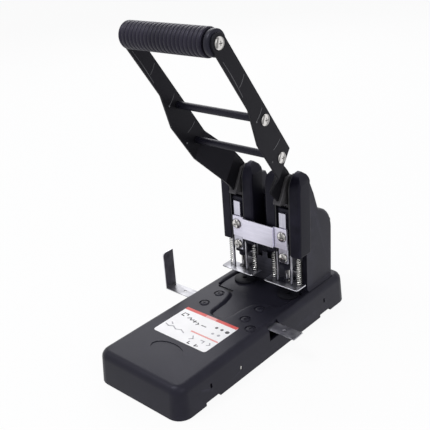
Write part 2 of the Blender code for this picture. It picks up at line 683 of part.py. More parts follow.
def make_base_fittings():
    for number, (x, y) in enumerate(base_screw_places(), 1):
        pan_screw("base_screw_" + str(number), (x, y, BASE_TOP - SEAT_DEPTH + GAP), "Z", 1,
                  BASE_SCREW_HEAD_RADIUS, SCREW_GRIP, BASE_SCREW_HEAD_HEIGHT, BLACK)
    wall = BASE_SIDE_WALL + GAP
    tray = slab(base_outline(wall), TRAY_STAND, TRAY_STAND + TRAY_RIM_HEIGHT)
    combine(tray, slab(base_outline(wall + TRAY_WALL), TRAY_STAND + TRAY_FLOOR,
                       TRAY_STAND + TRAY_RIM_HEIGHT + OVERRUN))
    for end, sy in (("front", -1), ("rear", 1)):
        for side, sx in SIDES:
            place = (BASE_X + sx * (HALF_WIDTH - FOOT_INSET), sy * (HALF_LENGTH - FOOT_INSET), 0)
            combine(tray, rod(FOOT_RADIUS + GAP, -OVERRUN, FOOT_THICKNESS + GAP, place, steps=SCREW_STEPS))
            foot = rod(FOOT_RADIUS, 0, FOOT_THICKNESS, place, steps=SCREW_STEPS)
            name_part(foot, "foot_" + end + "_" + side, RUBBER)
    name_part(tray, "bottom_tray", BLACK)
    chassis_rear = HALF_LENGTH - BASE_SIDE_WALL - CHASSIS_END_MARGIN
    chassis = block((BASE_X - CHASSIS_HALF_WIDTH, HEAD_FRONT_Y - CHASSIS_LEAD, CEILING - GAP - CHASSIS_SHEET),
                    (BASE_X + CHASSIS_HALF_WIDTH, chassis_rear, CEILING - GAP))
    for side in (-1, 1):
        combine(chassis, rod(CHIP_HOLE_RADIUS, CEILING - CHASSIS_SHEET - OVERRUN, CEILING + OVERRUN,
                             (side * HEAD_X, PIN_Y, 0)))
    name_part(chassis, "chassis_plate", DARK_STEEL)
    top = BASE_TOP + CARD_PROUD
    outline = rounded_rectangle(LABEL_WIDTH / 2, LABEL_LENGTH / 2, LABEL_CORNER_RADIUS, 3, (LABEL_X, LABEL_Y))
    label = slab(outline, top - LABEL_THICKNESS, top)
    name_part(label, "label_plate", CARD)
    bore = PIN_RADIUS + RUNNING_FIT
    seat = FUNNEL_FLOOR - DIE_SEAT_DEPTH + GAP
    for side, sign in SIDES:
        die = turned([(bore, seat + DIE_THICKNESS), (DIE_RADIUS, seat + DIE_THICKNESS), (DIE_RADIUS, seat),
                      (bore, seat)], (sign * HEAD_X, PIN_Y, 0))
        name_part(die, "die_" + side, DARK_STEEL)


def make_gauge():
    half_channel = GAUGE_WIDTH / 2 + SLIDE_FIT
    left = BASE_X - GUIDE_HALF_LENGTH
    right = BASE_X + GUIDE_HALF_LENGTH
    guide = block((left, GAUGE_Y - half_channel - GUIDE_FLANGE, GAUGE_BOTTOM - GAP - GUIDE_FLOOR),
                  (right, GAUGE_Y + half_channel + GUIDE_FLANGE, CEILING - GAP))
    combine(guide, block((left - OVERRUN, GAUGE_Y - half_channel, GAUGE_BOTTOM - GAP),
                         (right + OVERRUN, GAUGE_Y + half_channel, CEILING + OVERRUN)))
    for x, y in base_screw_places():
        combine(guide, rod(SCREW_SHANK_RADIUS + SCREW_FIT, GAUGE_BOTTOM - GUIDE_FLOOR - OVERRUN,
                           CEILING + OVERRUN, (x, y, 0), steps=SCREW_STEPS))
    name_part(guide, "gauge_guide", DARK_STEEL)
    front = GAUGE_Y - GAUGE_WIDTH / 2
    rear = GAUGE_Y + GAUGE_WIDTH / 2
    bar = block((-GAUGE_LEFT_REACH, front, GAUGE_BOTTOM), (GAUGE_RIGHT_REACH, rear, GAUGE_TOP))
    top = GAUGE_BOTTOM + GAUGE_BLADE_HEIGHT
    cut = GAUGE_CORNER_CUT
    blade_outline = [(front, GAUGE_BOTTOM), (rear, GAUGE_BOTTOM), (rear, top), (front + cut, top),
                     (front + cut / 4, top - cut / 4), (front, top - cut)]
    blade = slab(blade_outline, -GAUGE_LEFT_REACH, -GAUGE_LEFT_REACH + GAUGE_THICKNESS, "X")
    combine(bar, blade, "UNION")
    for x in (GAUGE_HOLE_LEFT_X, GAUGE_HOLE_RIGHT_X):
        combine(bar, rod(GAUGE_HOLE_RADIUS, GAUGE_BOTTOM - OVERRUN, GAUGE_TOP + OVERRUN, (x, GAUGE_Y, 0),
                         steps=SCREW_STEPS))
    name_part(bar, "gauge_bar", BRIGHT_STEEL)


def make_backstop():
    top = STAND + BACKSTOP_HEIGHT
    left = TAB_X - TAB_WIDTH / 2
    right = TAB_X + TAB_WIDTH / 2
    half = BACKSTOP_HALF_WIDTH
    outline = [(-half, STAND), (half, STAND), (half, top), (right, top), (right, top + TAB_HEIGHT),
               (left, top + TAB_HEIGHT), (left, top), (-half, top)]
    stop = slab(outline, BACKSTOP_Y, BACKSTOP_Y + BACKSTOP_SHEET, "Y")
    foot_rear = BACKSTOP_Y + BACKSTOP_SHEET + BACKSTOP_FOOT
    combine(stop, block((-half, BACKSTOP_Y, STAND), (half, foot_rear, STAND + BACKSTOP_SHEET)), "UNION")
    name_part(stop, "backstop", DARK_STEEL)


def frame_outline():
    """Side view of a frame cheek: narrow front leg, slot for the slider's ear, rear pillar, sloping top."""
    slot_top = EAR_TOP + GAP
    shoulder = STAND + FRAME_SHOULDER_LIFT
    leg_rear = FRAME_FRONT_Y + FRAME_LEG
    slot_rear = BLOCK_Y + EAR_DEPTH + GAP
    points = [(FRAME_FRONT_Y, STRIPPER_TOP + GAP), (leg_rear, STRIPPER_TOP + GAP), (leg_rear, slot_top),
              (slot_rear, slot_top), (slot_rear, shoulder), (FRAME_REAR_Y, shoulder), (FRAME_REAR_Y, STAND)]
    points += [(FRAME_FRONT_Y + a * FRAME_DEPTH, STAND + b * FRAME_HEIGHT) for a, b in FRAME_BACK_SHARES]
    return points


def make_frames():
    for side, sign in SIDES:
        low_x = min(sign * FRAME_INNER_X, sign * FRAME_OUTER_X)
        high_x = max(sign * FRAME_INNER_X, sign * FRAME_OUTER_X)
        frame = slab(frame_outline(), low_x, low_x + FRAME_SHEET, "X")
        combine(frame, slab(frame_outline(), high_x - FRAME_SHEET, high_x, "X"), "UNION")
        rear = FRAME_FRONT_Y + FRAME_DEPTH
        web_rear = FRAME_REAR_Y + FRAME_WEB
        combine(frame, block((low_x, FRAME_REAR_Y, STAND), (high_x, web_rear, FRAME_WEB_HEIGHT)), "UNION")
        combine(frame, block((low_x, FRAME_REAR_Y, STAND), (high_x, rear, STAND + FRAME_FOOT)), "UNION")
        web_front = BLOCK_REAR_Y + SLIDE_FIT
        combine(frame, block((low_x, web_front, STAND + FRAME_SHOULDER_LIFT),
                             (high_x, web_front + FRAME_WEB, GUIDE_WEB_TOP)), "UNION")
        combine(frame, rod(SHAFT_RADIUS + GAP, low_x - OVERRUN, high_x + OVERRUN, (0, PIVOT_Y, PIVOT_Z), "X"))
        name_part(frame, "head_frame_" + side, BRIGHT_STEEL)


def dome_slab(near, far, wall, front, rear):
    """A slab along Y with a column's front view, level at the slot and rounded down to its far side."""
    turn = 1 if far > near else -1
    side = far + turn * (GAP - wall)
    top = COLUMN_BOTTOM + COLUMN_HEIGHT + OVERRUN - wall
    radius = COLUMN_DOME_RADIUS - wall
    low = COLUMN_BOTTOM - OVERRUN * 2
    crest = side - turn * (radius + OVERRUN)
    points = [(crest, low), (side, low)]
    for step in range(DOME_STEPS + 1):
        angle = math.pi / 2 * step / DOME_STEPS
        points.append((side - turn * radius * (1 - math.cos(angle)), top - radius * (1 - math.sin(angle))))
    return slab(points + [(crest, top)], front, rear, "Y")


def make_columns():
    outline = [(HEAD_FRONT_Y + a * COLUMN_DEPTH, COLUMN_BOTTOM + b * COLUMN_HEIGHT) for a, b in COLUMN_SHARES]
    hollow_outline = inset(outline, COLUMN_WALL)
    hollow_outline[0] = (hollow_outline[0][0], COLUMN_BOTTOM - OVERRUN)
    hollow_outline[-1] = (hollow_outline[-1][0], COLUMN_BOTTOM - OVERRUN)
    front = HEAD_FRONT_Y - OVERRUN
    rear = COLUMN_REAR_Y + OVERRUN
    for side, sign in SIDES:
        for kind, open_x, away in (("inner", FRAME_INNER_X - GAP, -1), ("outer", FRAME_OUTER_X + GAP, 1)):
            near = sign * open_x
            far = sign * (open_x + away * COLUMN_WIDTH)
            column = slab(outline, min(near, far), max(near, far), "X")
            round_edges(column, lambda co: abs(co.x - far) < MERGE, COLUMN_EDGE_RADIUS, 3)
            combine(column, dome_slab(near, far, 0, front, rear), "INTERSECT")
            wall = far - sign * away * COLUMN_WALL
            opening = near - sign * away * OVERRUN
            hollow = slab(hollow_outline, min(wall, opening), max(wall, opening), "X")
            combine(hollow, dome_slab(near, far, COLUMN_WALL, front, rear), "INTERSECT")
            combine(column, bake(hollow))
            name_part(column, "column_" + kind + "_" + side, BLACK)


def housing_points(shares):
    return [(HOUSING_FRONT_Y + a * HOUSING_DEPTH, STAND + b * HOUSING_HEIGHT) for a, b in shares]


def make_gable(sign, wall):
    """The part of the housing that rises behind one head, moved inwards by a wall."""
    inner = GABLE_INNER_X + wall
    outer = HOUSING_HALF_WIDTH - wall
    outline = housing_points(GABLE_SHARES)
    if wall:
        outline = inset(outline, wall)
    gable = slab(outline, min(sign * inner, sign * outer), max(sign * inner, sign * outer), "X")
    low = STAND + HOUSING_HEIGHT * GABLE_SHARES[0][1] + HOUSING_WALL * 2
    round_edges(gable, lambda co: abs(co.x) > outer - MERGE and co.z > low, HOUSING_EDGE_RADIUS - wall, 3)
    round_edges(gable, lambda co: abs(co.x) < inner + MERGE and co.z > low, GABLE_INNER_RADIUS - wall, 4)
    return gable


def make_housing():
    half = HOUSING_HALF_WIDTH
    outline = housing_points(HOUSING_SHARES)
    inside = inset(outline, HOUSING_WALL)
    inside[0] = (inside[0][0], STAND - OVERRUN)
    inside[-1] = (inside[-1][0], STAND - OVERRUN)
    housing = slab(outline, -half, half, "X")
    hollow = slab(inside, -half + HOUSING_WALL, half - HOUSING_WALL, "X")
    for sign in (-1, 1):
        for solid, radius in ((housing, HOUSING_EDGE_RADIUS), (hollow, HOUSING_EDGE_RADIUS - HOUSING_WALL)):
            round_edges(solid, lambda co: co.x * sign > 0 and co.z > STAND + HOUSING_HEIGHT / 2, radius, 3)
    combine(housing, make_flare(half), "UNION")
    for sign in (-1, 1):
        combine(housing, make_gable(sign, 0), "UNION")
    combine(housing, hollow)
    for sign in (-1, 1):
        combine(housing, make_gable(sign, HOUSING_WALL))
        near = sign * (FRAME_INNER_X - GAP)
        far = sign * (FRAME_OUTER_X + GAP)
        inside_y = HOUSING_FRONT_Y + HOUSING_WALL + GAP
        combine(housing, block((min(near, far), HOUSING_FRONT_Y - OVERRUN, STAND - OVERRUN),
                               (max(near, far), inside_y, STAND + HOUSING_HEIGHT + OVERRUN)))
    opening = half - REAR_OPENING_MARGIN
    combine(housing, block((-opening, HOUSING_REAR_Y - HOUSING_WALL - OVERRUN, STAND + REAR_OPENING_MARGIN),
                           (opening, HOUSING_REAR_Y + OVERRUN, STAND + REAR_COVER_HEIGHT - REAR_OPENING_MARGIN)))
    name_part(housing, "rear_housing", BLACK)
    cover_half = half - REAR_COVER_MARGIN
    bottom = STAND + FLARE_HEIGHT + GAP
    cover_outline = [(-cover_half, bottom), (cover_half, bottom), (cover_half, STAND + REAR_COVER_HEIGHT),
                     (-cover_half, STAND + REAR_COVER_HEIGHT)]
    cover = slab(cover_outline, HOUSING_REAR_Y + GAP, HOUSING_REAR_Y + GAP + REAR_COVER_SHEET, "Y")
    for sign in (-1, 1):
        round_edges(cover, lambda co: co.x * sign > 0 and co.z > STAND + REAR_COVER_HEIGHT - MERGE,
                    REAR_COVER_SHEET * 2, 3)
    name_part(cover, "rear_cover", BLACK)


def make_flare(half):
    """The housing's foot, spreading towards the base at its sides and rear."""
    rings = []
    for out_share, up_share in FLARE_SHARES:
        out = out_share * FLARE_OUT
        rear = HOUSING_REAR_Y + out
        side = half + out
        corners = [(side, HOUSING_FRONT_Y), (side, rear - FLARE_OUT), (side - FLARE_OUT, rear),
                   (FLARE_OUT - side, rear), (-side, rear - FLARE_OUT), (-side, HOUSING_FRONT_Y)]
        rings.append((corners, STAND + up_share * FLARE_HEIGHT))
    return stacked(rings)


def make_strippers():
    tongue_rear = BACKSTOP_Y - GAP
    rear = HEAD_FRONT_Y + STRIPPER_REAR
    front = HEAD_FRONT_Y - STRIPPER_FRONT
    half_tongue = STRIPPER_TONGUE / 2
    for side, sign in SIDES:
        cut = STRIPPER_CORNER
        part_cut = STRIPPER_CORNER * STRIPPER_CORNER_SHARE
        outline = [(STRIPPER_INNER_X, front + cut), (STRIPPER_INNER_X + part_cut, front + part_cut),
                   (STRIPPER_INNER_X + cut, front), (STRIPPER_OUTER_X - cut, front),
                   (STRIPPER_OUTER_X - part_cut, front + part_cut), (STRIPPER_OUTER_X, front + cut),
                   (STRIPPER_OUTER_X, rear),
                   (HEAD_X + half_tongue, rear), (HEAD_X + half_tongue, tongue_rear),
                   (HEAD_X - half_tongue, tongue_rear), (HEAD_X - half_tongue, rear), (STRIPPER_INNER_X, rear)]
        plate = slab([(sign * x, y) for x, y in outline], STRIPPER_BOTTOM, STRIPPER_TOP)
        combine(plate, block((sign * HEAD_X - half_tongue, tongue_rear - STRIPPER_SHEET, STRIPPER_BOTTOM),
                             (sign * HEAD_X + half_tongue, tongue_rear, STRIPPER_BOTTOM + STRIPPER_FLANGE)), "UNION")
        combine(plate, rod(BOSS_RADIUS + PIN_FIT, STRIPPER_BOTTOM - OVERRUN, STRIPPER_TOP + OVERRUN,
                           (sign * HEAD_X, PIN_Y, 0)))
        name_part(plate, "stripper_plate_" + side, BRIGHT_STEEL)


def make_sliders():
    for side, sign in SIDES:
        x = sign * HEAD_X
        half = BLOCK_HALF_WIDTH
        slider = block((x - half, BLOCK_Y, BLOCK_BOTTOM), (x + half, BLOCK_REAR_Y, BLOCK_TOP))
        ears = sorted((x - sign * EAR_INNER_REACH, x + sign * EAR_OUTER_REACH))
        combine(slider, block((ears[0], BLOCK_Y, EAR_BOTTOM), (ears[1], BLOCK_Y + EAR_DEPTH, EAR_TOP)), "UNION")
        boss_top = BLOCK_BOTTOM + OVERRUN
        boss = turned([(0, boss_top), (BOSS_RADIUS, boss_top), (BOSS_RADIUS, BOSS_BOTTOM + BOSS_DROP / 3),
                       (BOSS_RADIUS - BOSS_DROP / 4, BOSS_BOTTOM), (0, BOSS_BOTTOM)], (x, PIN_Y, 0))
        combine(slider, boss, "UNION")
        bore_top = BLOCK_BOTTOM + BLOCK_HEIGHT / 8
        combine(slider, rod(PIN_RADIUS + PIN_FIT, BOSS_BOTTOM - OVERRUN, bore_top, (x, PIN_Y, 0)))
        for lift in (UPPER_SCREW_LIFT, LOWER_SCREW_LIFT):
            combine(slider, rod(SCREW_SHANK_RADIUS + SCREW_FIT, BLOCK_Y - OVERRUN,
                                BLOCK_Y + BLOCK_DEPTH / 2 + OVERRUN, (x, 0, BASE_TOP + lift), "Y", SCREW_STEPS))
        name_part(slider, "slider_block_" + side, BLACK)
        pin = rod(PIN_RADIUS, STRIPPER_BOTTOM, bore_top - GAP, (x, PIN_Y, 0))
        name_part(pin, "punch_pin_" + side, NICKEL)
        wide = FACE_WIDTH / 2
        neck = FACE_NECK_WIDTH / 2
        top = FACE_BOTTOM + FACE_HEIGHT
        neck_bottom = FACE_BOTTOM + FACE_NECK_LIFT
        outline = [(x - wide, FACE_BOTTOM), (x + wide, FACE_BOTTOM), (x + wide, neck_bottom - wide + neck),
                   (x + neck, neck_bottom), (x + neck, top), (x - neck, top), (x - neck, neck_bottom),
                   (x - wide, neck_bottom - wide + neck)]
        face = slab(outline, FACE_Y, FACE_Y + FACE_SHEET, "Y")
        for lift in (UPPER_SCREW_LIFT, LOWER_SCREW_LIFT):
            combine(face, rod(SCREW_SHANK_RADIUS + SCREW_FIT, FACE_Y - OVERRUN, FACE_Y + FACE_SHEET + OVERRUN,
                              (x, 0, BASE_TOP + lift), "Y", SCREW_STEPS))
        name_part(face, "face_plate_" + side, BRIGHT_STEEL)
        pan_screw("band_screw_" + side, (x, BAND_Y - GAP, BASE_TOP + UPPER_SCREW_LIFT), "Y", -1,
                  HEAD_SCREW_RADIUS, HEAD_SCREW_GRIP)
        pan_screw("plate_screw_" + side, (x, FACE_Y - GAP, BASE_TOP + LOWER_SCREW_LIFT), "Y", -1,
                  HEAD_SCREW_RADIUS, HEAD_SCREW_GRIP)


def make_band():
    front = BAND_Y - BAND_JOGGLE
    back = BAND_Y + BAND_SHEET
    inside = BAND_HALF_WIDTH - BAND_SHEET
    outline = [(BAND_EAR_REACH, BAND_Y), (BAND_EAR_REACH, back), (inside, back), (inside, front + BAND_SHEET),
               (-inside, front + BAND_SHEET), (-inside, back), (-BAND_EAR_REACH, back), (-BAND_EAR_REACH, BAND_Y),
               (-BAND_HALF_WIDTH, BAND_Y), (-BAND_HALF_WIDTH, front), (BAND_HALF_WIDTH, front),
               (BAND_HALF_WIDTH, BAND_Y)]
    band = slab(outline, BAND_BOTTOM, BAND_BOTTOM + BAND_HEIGHT)
    middle = BAND_BOTTOM + BAND_HEIGHT / 2
    ends = (MERGE, BAND_HEIGHT / 2 - MERGE)
    round_edges(band, lambda co: abs(co.x) > BAND_EAR_REACH - ends[0] and abs(co.z - middle) > ends[1],
                BAND_EAR_CUT, 3)
    for side, sign in SIDES:
        combine(band, rod(SCREW_SHANK_RADIUS + SCREW_FIT, BAND_Y - OVERRUN, BAND_Y + BAND_SHEET + OVERRUN,
                          (sign * HEAD_X, 0, BASE_TOP + UPPER_SCREW_LIFT), "Y", SCREW_STEPS))
    name_part(band, "cross_band", BRIGHT_STEEL)


def make_springs():
    bottom = STRIPPER_TOP + GAP + SPRING_TUBE
    top = EAR_BOTTOM - GAP - SPRING_TUBE
    count = SPRING_TURNS * SPRING_POINTS
    for side, sign in SIDES:
        for kind, shift in (("inner", -SPRING_INNER_SHIFT), ("outer", SPRING_OUTER_SHIFT)):
            x = sign * (HEAD_X + shift)
            points = []
            for i in range(count + 1):
                angle = math.tau * i / SPRING_POINTS
                points.append((x + SPRING_RADIUS * math.cos(angle), SPRING_Y + SPRING_RADIUS * math.sin(angle),
                               bottom + (top - bottom) * i / count))
            name_part(tube(points, SPRING_TUBE, "spring"), "return_spring_" + kind + "_" + side, NICKEL)
    print("Least gap between spring turns (m):", round((top - bottom) / SPRING_TURNS - SPRING_WIRE, 5))


def make_shaft():
    reach = FRAME_OUTER_X + SHAFT_OVERHANG
    shaft = rod(SHAFT_RADIUS, -reach, reach, (0, PIVOT_Y, PIVOT_Z), "X")
    name_part(shaft, "pivot_shaft", BRIGHT_STEEL)
    for side, sign in SIDES:
        low = sign * HUB_X - HUB_THICKNESS / 2
        high = sign * HUB_X + HUB_THICKNESS / 2
        bush = turned([(BUSH_INNER, high), (BUSH_OUTER, high), (BUSH_OUTER, low), (BUSH_INNER, low)],
                      (0, PIVOT_Y, PIVOT_Z), "X")
        name_part(bush, "hub_bush_" + side, BRONZE)


def hub_outline():
    """Side view of the lever hub: strip edge in front, pressing nose below, boss about the shaft."""
    points = [handle_point(shares) for shares in HUB_FRONT_SHARES]
    for degrees in (150, 195, 240, 270, 300, 330):
        angle = math.radians(degrees)
        points.append((NOSE_Y + NOSE_RADIUS * math.cos(angle), NOSE_Z + NOSE_RADIUS * math.sin(angle)))
    points += [handle_point(shares) for shares in HUB_NECK_SHARES]
    for degrees in (195, 225, 255, 285, 315, 345, 15):
        angle = math.radians(degrees)
        points.append((PIVOT_Y + HUB_BOSS_RADIUS * math.cos(angle), PIVOT_Z + HUB_BOSS_RADIUS * math.sin(angle)))
    return points + [handle_point(shares) for shares in HUB_REAR_SHARES]


def tongue_outline():
    upper, lower = (handle_point(shares) for shares in ARM_INNER_FOLD_SHARES)
    return [upper, lower] + [handle_point(shares) for shares in ARM_TONGUE_SHARES]


def make_hubs():
    for side, sign in SIDES:
        x = sign * HUB_X
        hub = slab(hub_outline(), x - HUB_THICKNESS / 2, x + HUB_THICKNESS / 2, "X")
        half_slot = ARM_SHEET / 2 + GAP
        combine(hub, slab(inset(tongue_outline(), -GAP), x - half_slot, x + half_slot, "X"))
        combine(hub, rod(BUSH_OUTER + GAP, x - HUB_THICKNESS, x + HUB_THICKNESS, (0, PIVOT_Y, PIVOT_Z), "X"))
        name_part(hub, "lever_hub_" + side, DARK_STEEL)


def upper_arm_outline():
    """Side view of the arm above its first fold, with a round end about the grip's axis."""
    points = [handle_point(ARM_REAR_CORNER_SHARES)]
    steps = 8
    for step in range(steps + 1):
        angle = ARM_END_START + math.pi * step / steps
        points.append((GRIP_Y + ARM_END_RADIUS * math.cos(angle), GRIP_Z + ARM_END_RADIUS * math.sin(angle)))
    points += [handle_point(shares) for shares in reversed(ARM_KINK_SHARES)]
    points.append(handle_point(ARM_FRONT_FOLD_SHARES))
    return points


def screw_places():
    return (("top", (GRIP_Y, GRIP_Z)), ("middle", handle_point(ROD_UPPER_SHARES)),
            ("bottom", handle_point(ROD_LOWER_SHARES)))


def make_arms():
    upper = upper_arm_outline()
    tongue = tongue_outline()
    for side, sign in SIDES:
        work = bmesh.new()
        outer = sign * ARM_OUTER_X
        inner = sign * TONGUE_OUTER_X
        high = [work.verts.new((outer, y, z)) for y, z in upper]
        low = [work.verts.new((inner, y, z)) for y, z in tongue]
        faces = [work.faces.new(high), work.faces.new((high[0], high[-1], low[1], low[0])), work.faces.new(low)]
        bmesh.ops.recalc_face_normals(work, faces=faces)
        work.normal_update()
        if faces[0].normal.x * sign < 0:
            bmesh.ops.reverse_faces(work, faces=faces)
        mesh = bpy.data.meshes.new("arm")
        work.to_mesh(mesh)
        work.free()
        arm = link(mesh, "arm")
        thicken = arm.modifiers.new("sheet", "SOLIDIFY")
        thicken.thickness = ARM_SHEET
        thicken.offset = -1
        thicken.use_even_offset = True
        thicken.use_quality_normals = True
        arm = bake(arm)
        for kind, (y, z) in screw_places():
            low_x = min(sign * (ARM_INNER_X - OVERRUN), sign * (ARM_OUTER_X + OVERRUN))
            high_x = max(sign * (ARM_INNER_X - OVERRUN), sign * (ARM_OUTER_X + OVERRUN))
            combine(arm, rod(SCREW_SHANK_RADIUS + SCREW_FIT, low_x, high_x, (0, y, z), "X", SCREW_STEPS))
            pan_screw("arm_screw_" + kind + "_" + side, (sign * (ARM_OUTER_X + GAP), y, z), "X", sign,
                      ARM_SCREW_HEAD_RADIUS, SCREW_GRIP, ARM_SCREW_HEAD_HEIGHT)
        name_part(arm, "arm_" + side, BLACK)


def make_grip_and_rods():
    inside = ARM_INNER_X - GAP
    bore = SCREW_SHANK_RADIUS + SCREW_FIT
    for name, shares in (("rod_upper", ROD_UPPER_SHARES), ("rod_lower", ROD_LOWER_SHARES)):
        y, z = handle_point(shares)
        bar = turned([(bore, inside), (ROD_RADIUS, inside), (ROD_RADIUS, -inside), (bore, -inside)], (0, y, z), "X")
        name_part(bar, name, BLACK)
    collar_start = inside - COLLAR_WIDTH
    core = turned([(bore, inside), (COLLAR_RADIUS, inside), (COLLAR_RADIUS, collar_start),
                   (CORE_RADIUS, collar_start), (CORE_RADIUS, -inside), (bore, -inside)], (0, GRIP_Y, GRIP_Z), "X")
    name_part(core, "grip_core", BLACK)
    right = collar_start - COLLAR_GROOVE
    pitch = (right + inside) / GRIP_RIBS
    profile = [(GRIP_BORE, right), (GRIP_RADIUS - GRIP_GROOVE, right)]
    for rib in range(GRIP_RIBS):
        start = right - rib * pitch
        profile.append((GRIP_RADIUS, start - pitch * 0.3))
        profile.append((GRIP_RADIUS, start - pitch * 0.7))
        if rib < GRIP_RIBS - 1:
            profile.append((GRIP_RADIUS - GRIP_GROOVE, start - pitch))
    profile += [(GRIP_RADIUS - GRIP_GROOVE, -inside), (GRIP_BORE, -inside)]
    name_part(turned(profile, (0, GRIP_Y, GRIP_Z), "X"), "grip_sleeve", RUBBER)


make_base_cover()
make_base_fittings()
make_gauge()
make_backstop()
make_frames()
make_columns()
make_housing()
make_strippers()
make_sliders()
make_band()
make_springs()
make_shaft()
make_hubs()
make_arms()
make_grip_and_rods()
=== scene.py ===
# Looks of the heavy duty paper punch: finer shells, finishes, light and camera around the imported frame.
import json
import math

import bmesh
import bpy
from mathutils import Matrix, Vector


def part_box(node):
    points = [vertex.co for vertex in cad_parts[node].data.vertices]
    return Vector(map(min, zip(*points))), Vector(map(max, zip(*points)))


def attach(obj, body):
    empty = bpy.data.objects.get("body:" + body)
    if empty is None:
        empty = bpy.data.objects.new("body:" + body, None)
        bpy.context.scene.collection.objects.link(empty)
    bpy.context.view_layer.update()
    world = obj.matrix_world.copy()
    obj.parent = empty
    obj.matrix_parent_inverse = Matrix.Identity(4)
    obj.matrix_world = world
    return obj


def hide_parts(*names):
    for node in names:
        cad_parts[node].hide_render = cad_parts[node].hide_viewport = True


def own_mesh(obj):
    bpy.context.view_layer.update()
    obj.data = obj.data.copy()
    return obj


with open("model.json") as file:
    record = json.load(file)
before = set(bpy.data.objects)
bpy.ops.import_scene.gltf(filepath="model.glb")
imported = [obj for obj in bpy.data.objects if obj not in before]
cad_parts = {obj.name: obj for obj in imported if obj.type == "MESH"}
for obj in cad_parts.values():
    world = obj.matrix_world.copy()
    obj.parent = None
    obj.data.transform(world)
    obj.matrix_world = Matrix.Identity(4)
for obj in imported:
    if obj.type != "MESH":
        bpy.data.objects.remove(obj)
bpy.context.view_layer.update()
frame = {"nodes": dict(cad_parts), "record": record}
NODES = frame["nodes"]
BODIES = frame["record"]["behaviour"]["bodies"]
BODY_OF = {member: body for body, members in BODIES.items() for member in members}
SLOT_OF = {entry["node"]: entry["material_slot"] for entry in frame["record"]["subparts"]}
SIDES = (("left", -1), ("right", 1))

# The photograph's camera
CAMERA_PLACE = (0.5783, -0.63545, 0.5702)
CAMERA_YAW = math.radians(43.17)
CAMERA_PITCH = math.radians(23.88)
CAMERA_ROLL = math.radians(-4.22)
CAMERA_LENS = 60.15
SENSOR = 36

# Rounding and smoothing
EDGE_ROUND = 0.0005
EDGE_ROUNDS = {"base_cover": 0.0008, "rear_housing": 0.0010, "cross_band": 0.0008, "rear_cover": 0.0008}
EDGE_SEGMENTS = 2
WELD = 0.00002
FLAT_ANGLE = math.radians(0.6)
SHARP_ANGLE = math.radians(38)
CORNER_SHARES = (0.25, 0.75)
SMOOTH_ROUNDS = 3
CUT_REACH = 0.002

# Steps of a full turn, then of the slot's half turn and of the grip's quarter turn
ROUND_STEPS = 64
GRIP_STEPS = 80
SCREW_STEPS = 48
STUD_STEPS = 20
FASTENER_STEPS = 24
DISC_STEPS = 28
SLOT_STEPS = 8
GRIP_END_STEPS = 5

# Round bars: the broken edge at their ends, the share of it at its bend, and the bores
BAR_EDGE = 0.0004
EDGE_BEND = 0.3
SCREW_BORE = 0.0028
DIE_BORE = 0.0034
BUSH_BORE = 0.00615

# Grip: ribs in shares of their pitch and of the groove's depth, the sleeve's bore, and the tube's collar
GRIP_RIBS = 21
GROOVE_DEPTH = 0.0010
RIB_SHARES = ((0.0, 1.0), (0.10, 0.35), (0.22, 0.0), (0.78, 0.0), (0.90, 0.35))
GRIP_END_RADIUS = 0.0035
GRIP_BORE = 0.0093
SLEEVE_GAP = 0.0003
COLLAR_WIDTH = 0.0062
COLLAR_EDGE = 0.0009

# Screws: radius and height shares of a flat dome, the dome's height by the axis it faces, shank and cross
DOME_SHARES = ((0.0, 1.0), (0.35, 0.975), (0.62, 0.88), (0.82, 0.70), (0.93, 0.50), (0.985, 0.27), (1.0, 0.0))
HEAD_HEIGHTS = {"X": 0.0022, "Y": 0.0036, "Z": 0.0016}
SHANK_RADIUS = 0.0025
CROSS_WIDTH = 0.0013
CROSS_LENGTH = 0.0078
CROSS_DEPTH = 0.0011
CROSS_NARROWING = 0.6

# Return springs: wire, turns, pitch of the closed end coils in wires, points of one turn
SPRING_WIRE = 0.0011
SPRING_TURNS = 20
SPRING_CLOSED = 1.25
SPRING_POINTS = 20
WIRE_ROUNDNESS = 2

# Lines and studs pressed into the arms' sheet, as (y, z) from and to, and (y, z)
ARM_SHEET = 0.003
PRESSED_LINES = (((-0.0330, 0.3890), (-0.0425, 0.3756)), ((-0.0040, 0.3440), (-0.0148, 0.3300)),
                 ((0.0290, 0.2980), (0.0145, 0.2864)), ((-0.0668, 0.4095), (-0.0372, 0.3640)))
PRESSED_STUDS = ((-0.0148, 0.3295), (0.0115, 0.2724))
PRESSED_WIDTH = 0.0014
PRESSED_PROUD = 0.0004
PRESSED_BOW = 0.0010
STUD_RADIUS = 0.0014

# Their sections, in shares of the half width or radius and of the height, and how a line's ends taper
RIDGE_SECTION = ((-1, -0.6), (-0.5, 0.75), (0, 1), (0.5, 0.75), (1, -0.6))
STUD_SECTION = ((0, -0.6), (1, -0.6), (0.8, 1), (0.4, 1.5), (0, 1.6))
RIDGE_STEPS = 12
RIDGE_ENDS = (0.03, 0.97)
RIDGE_TAPER = 0.35

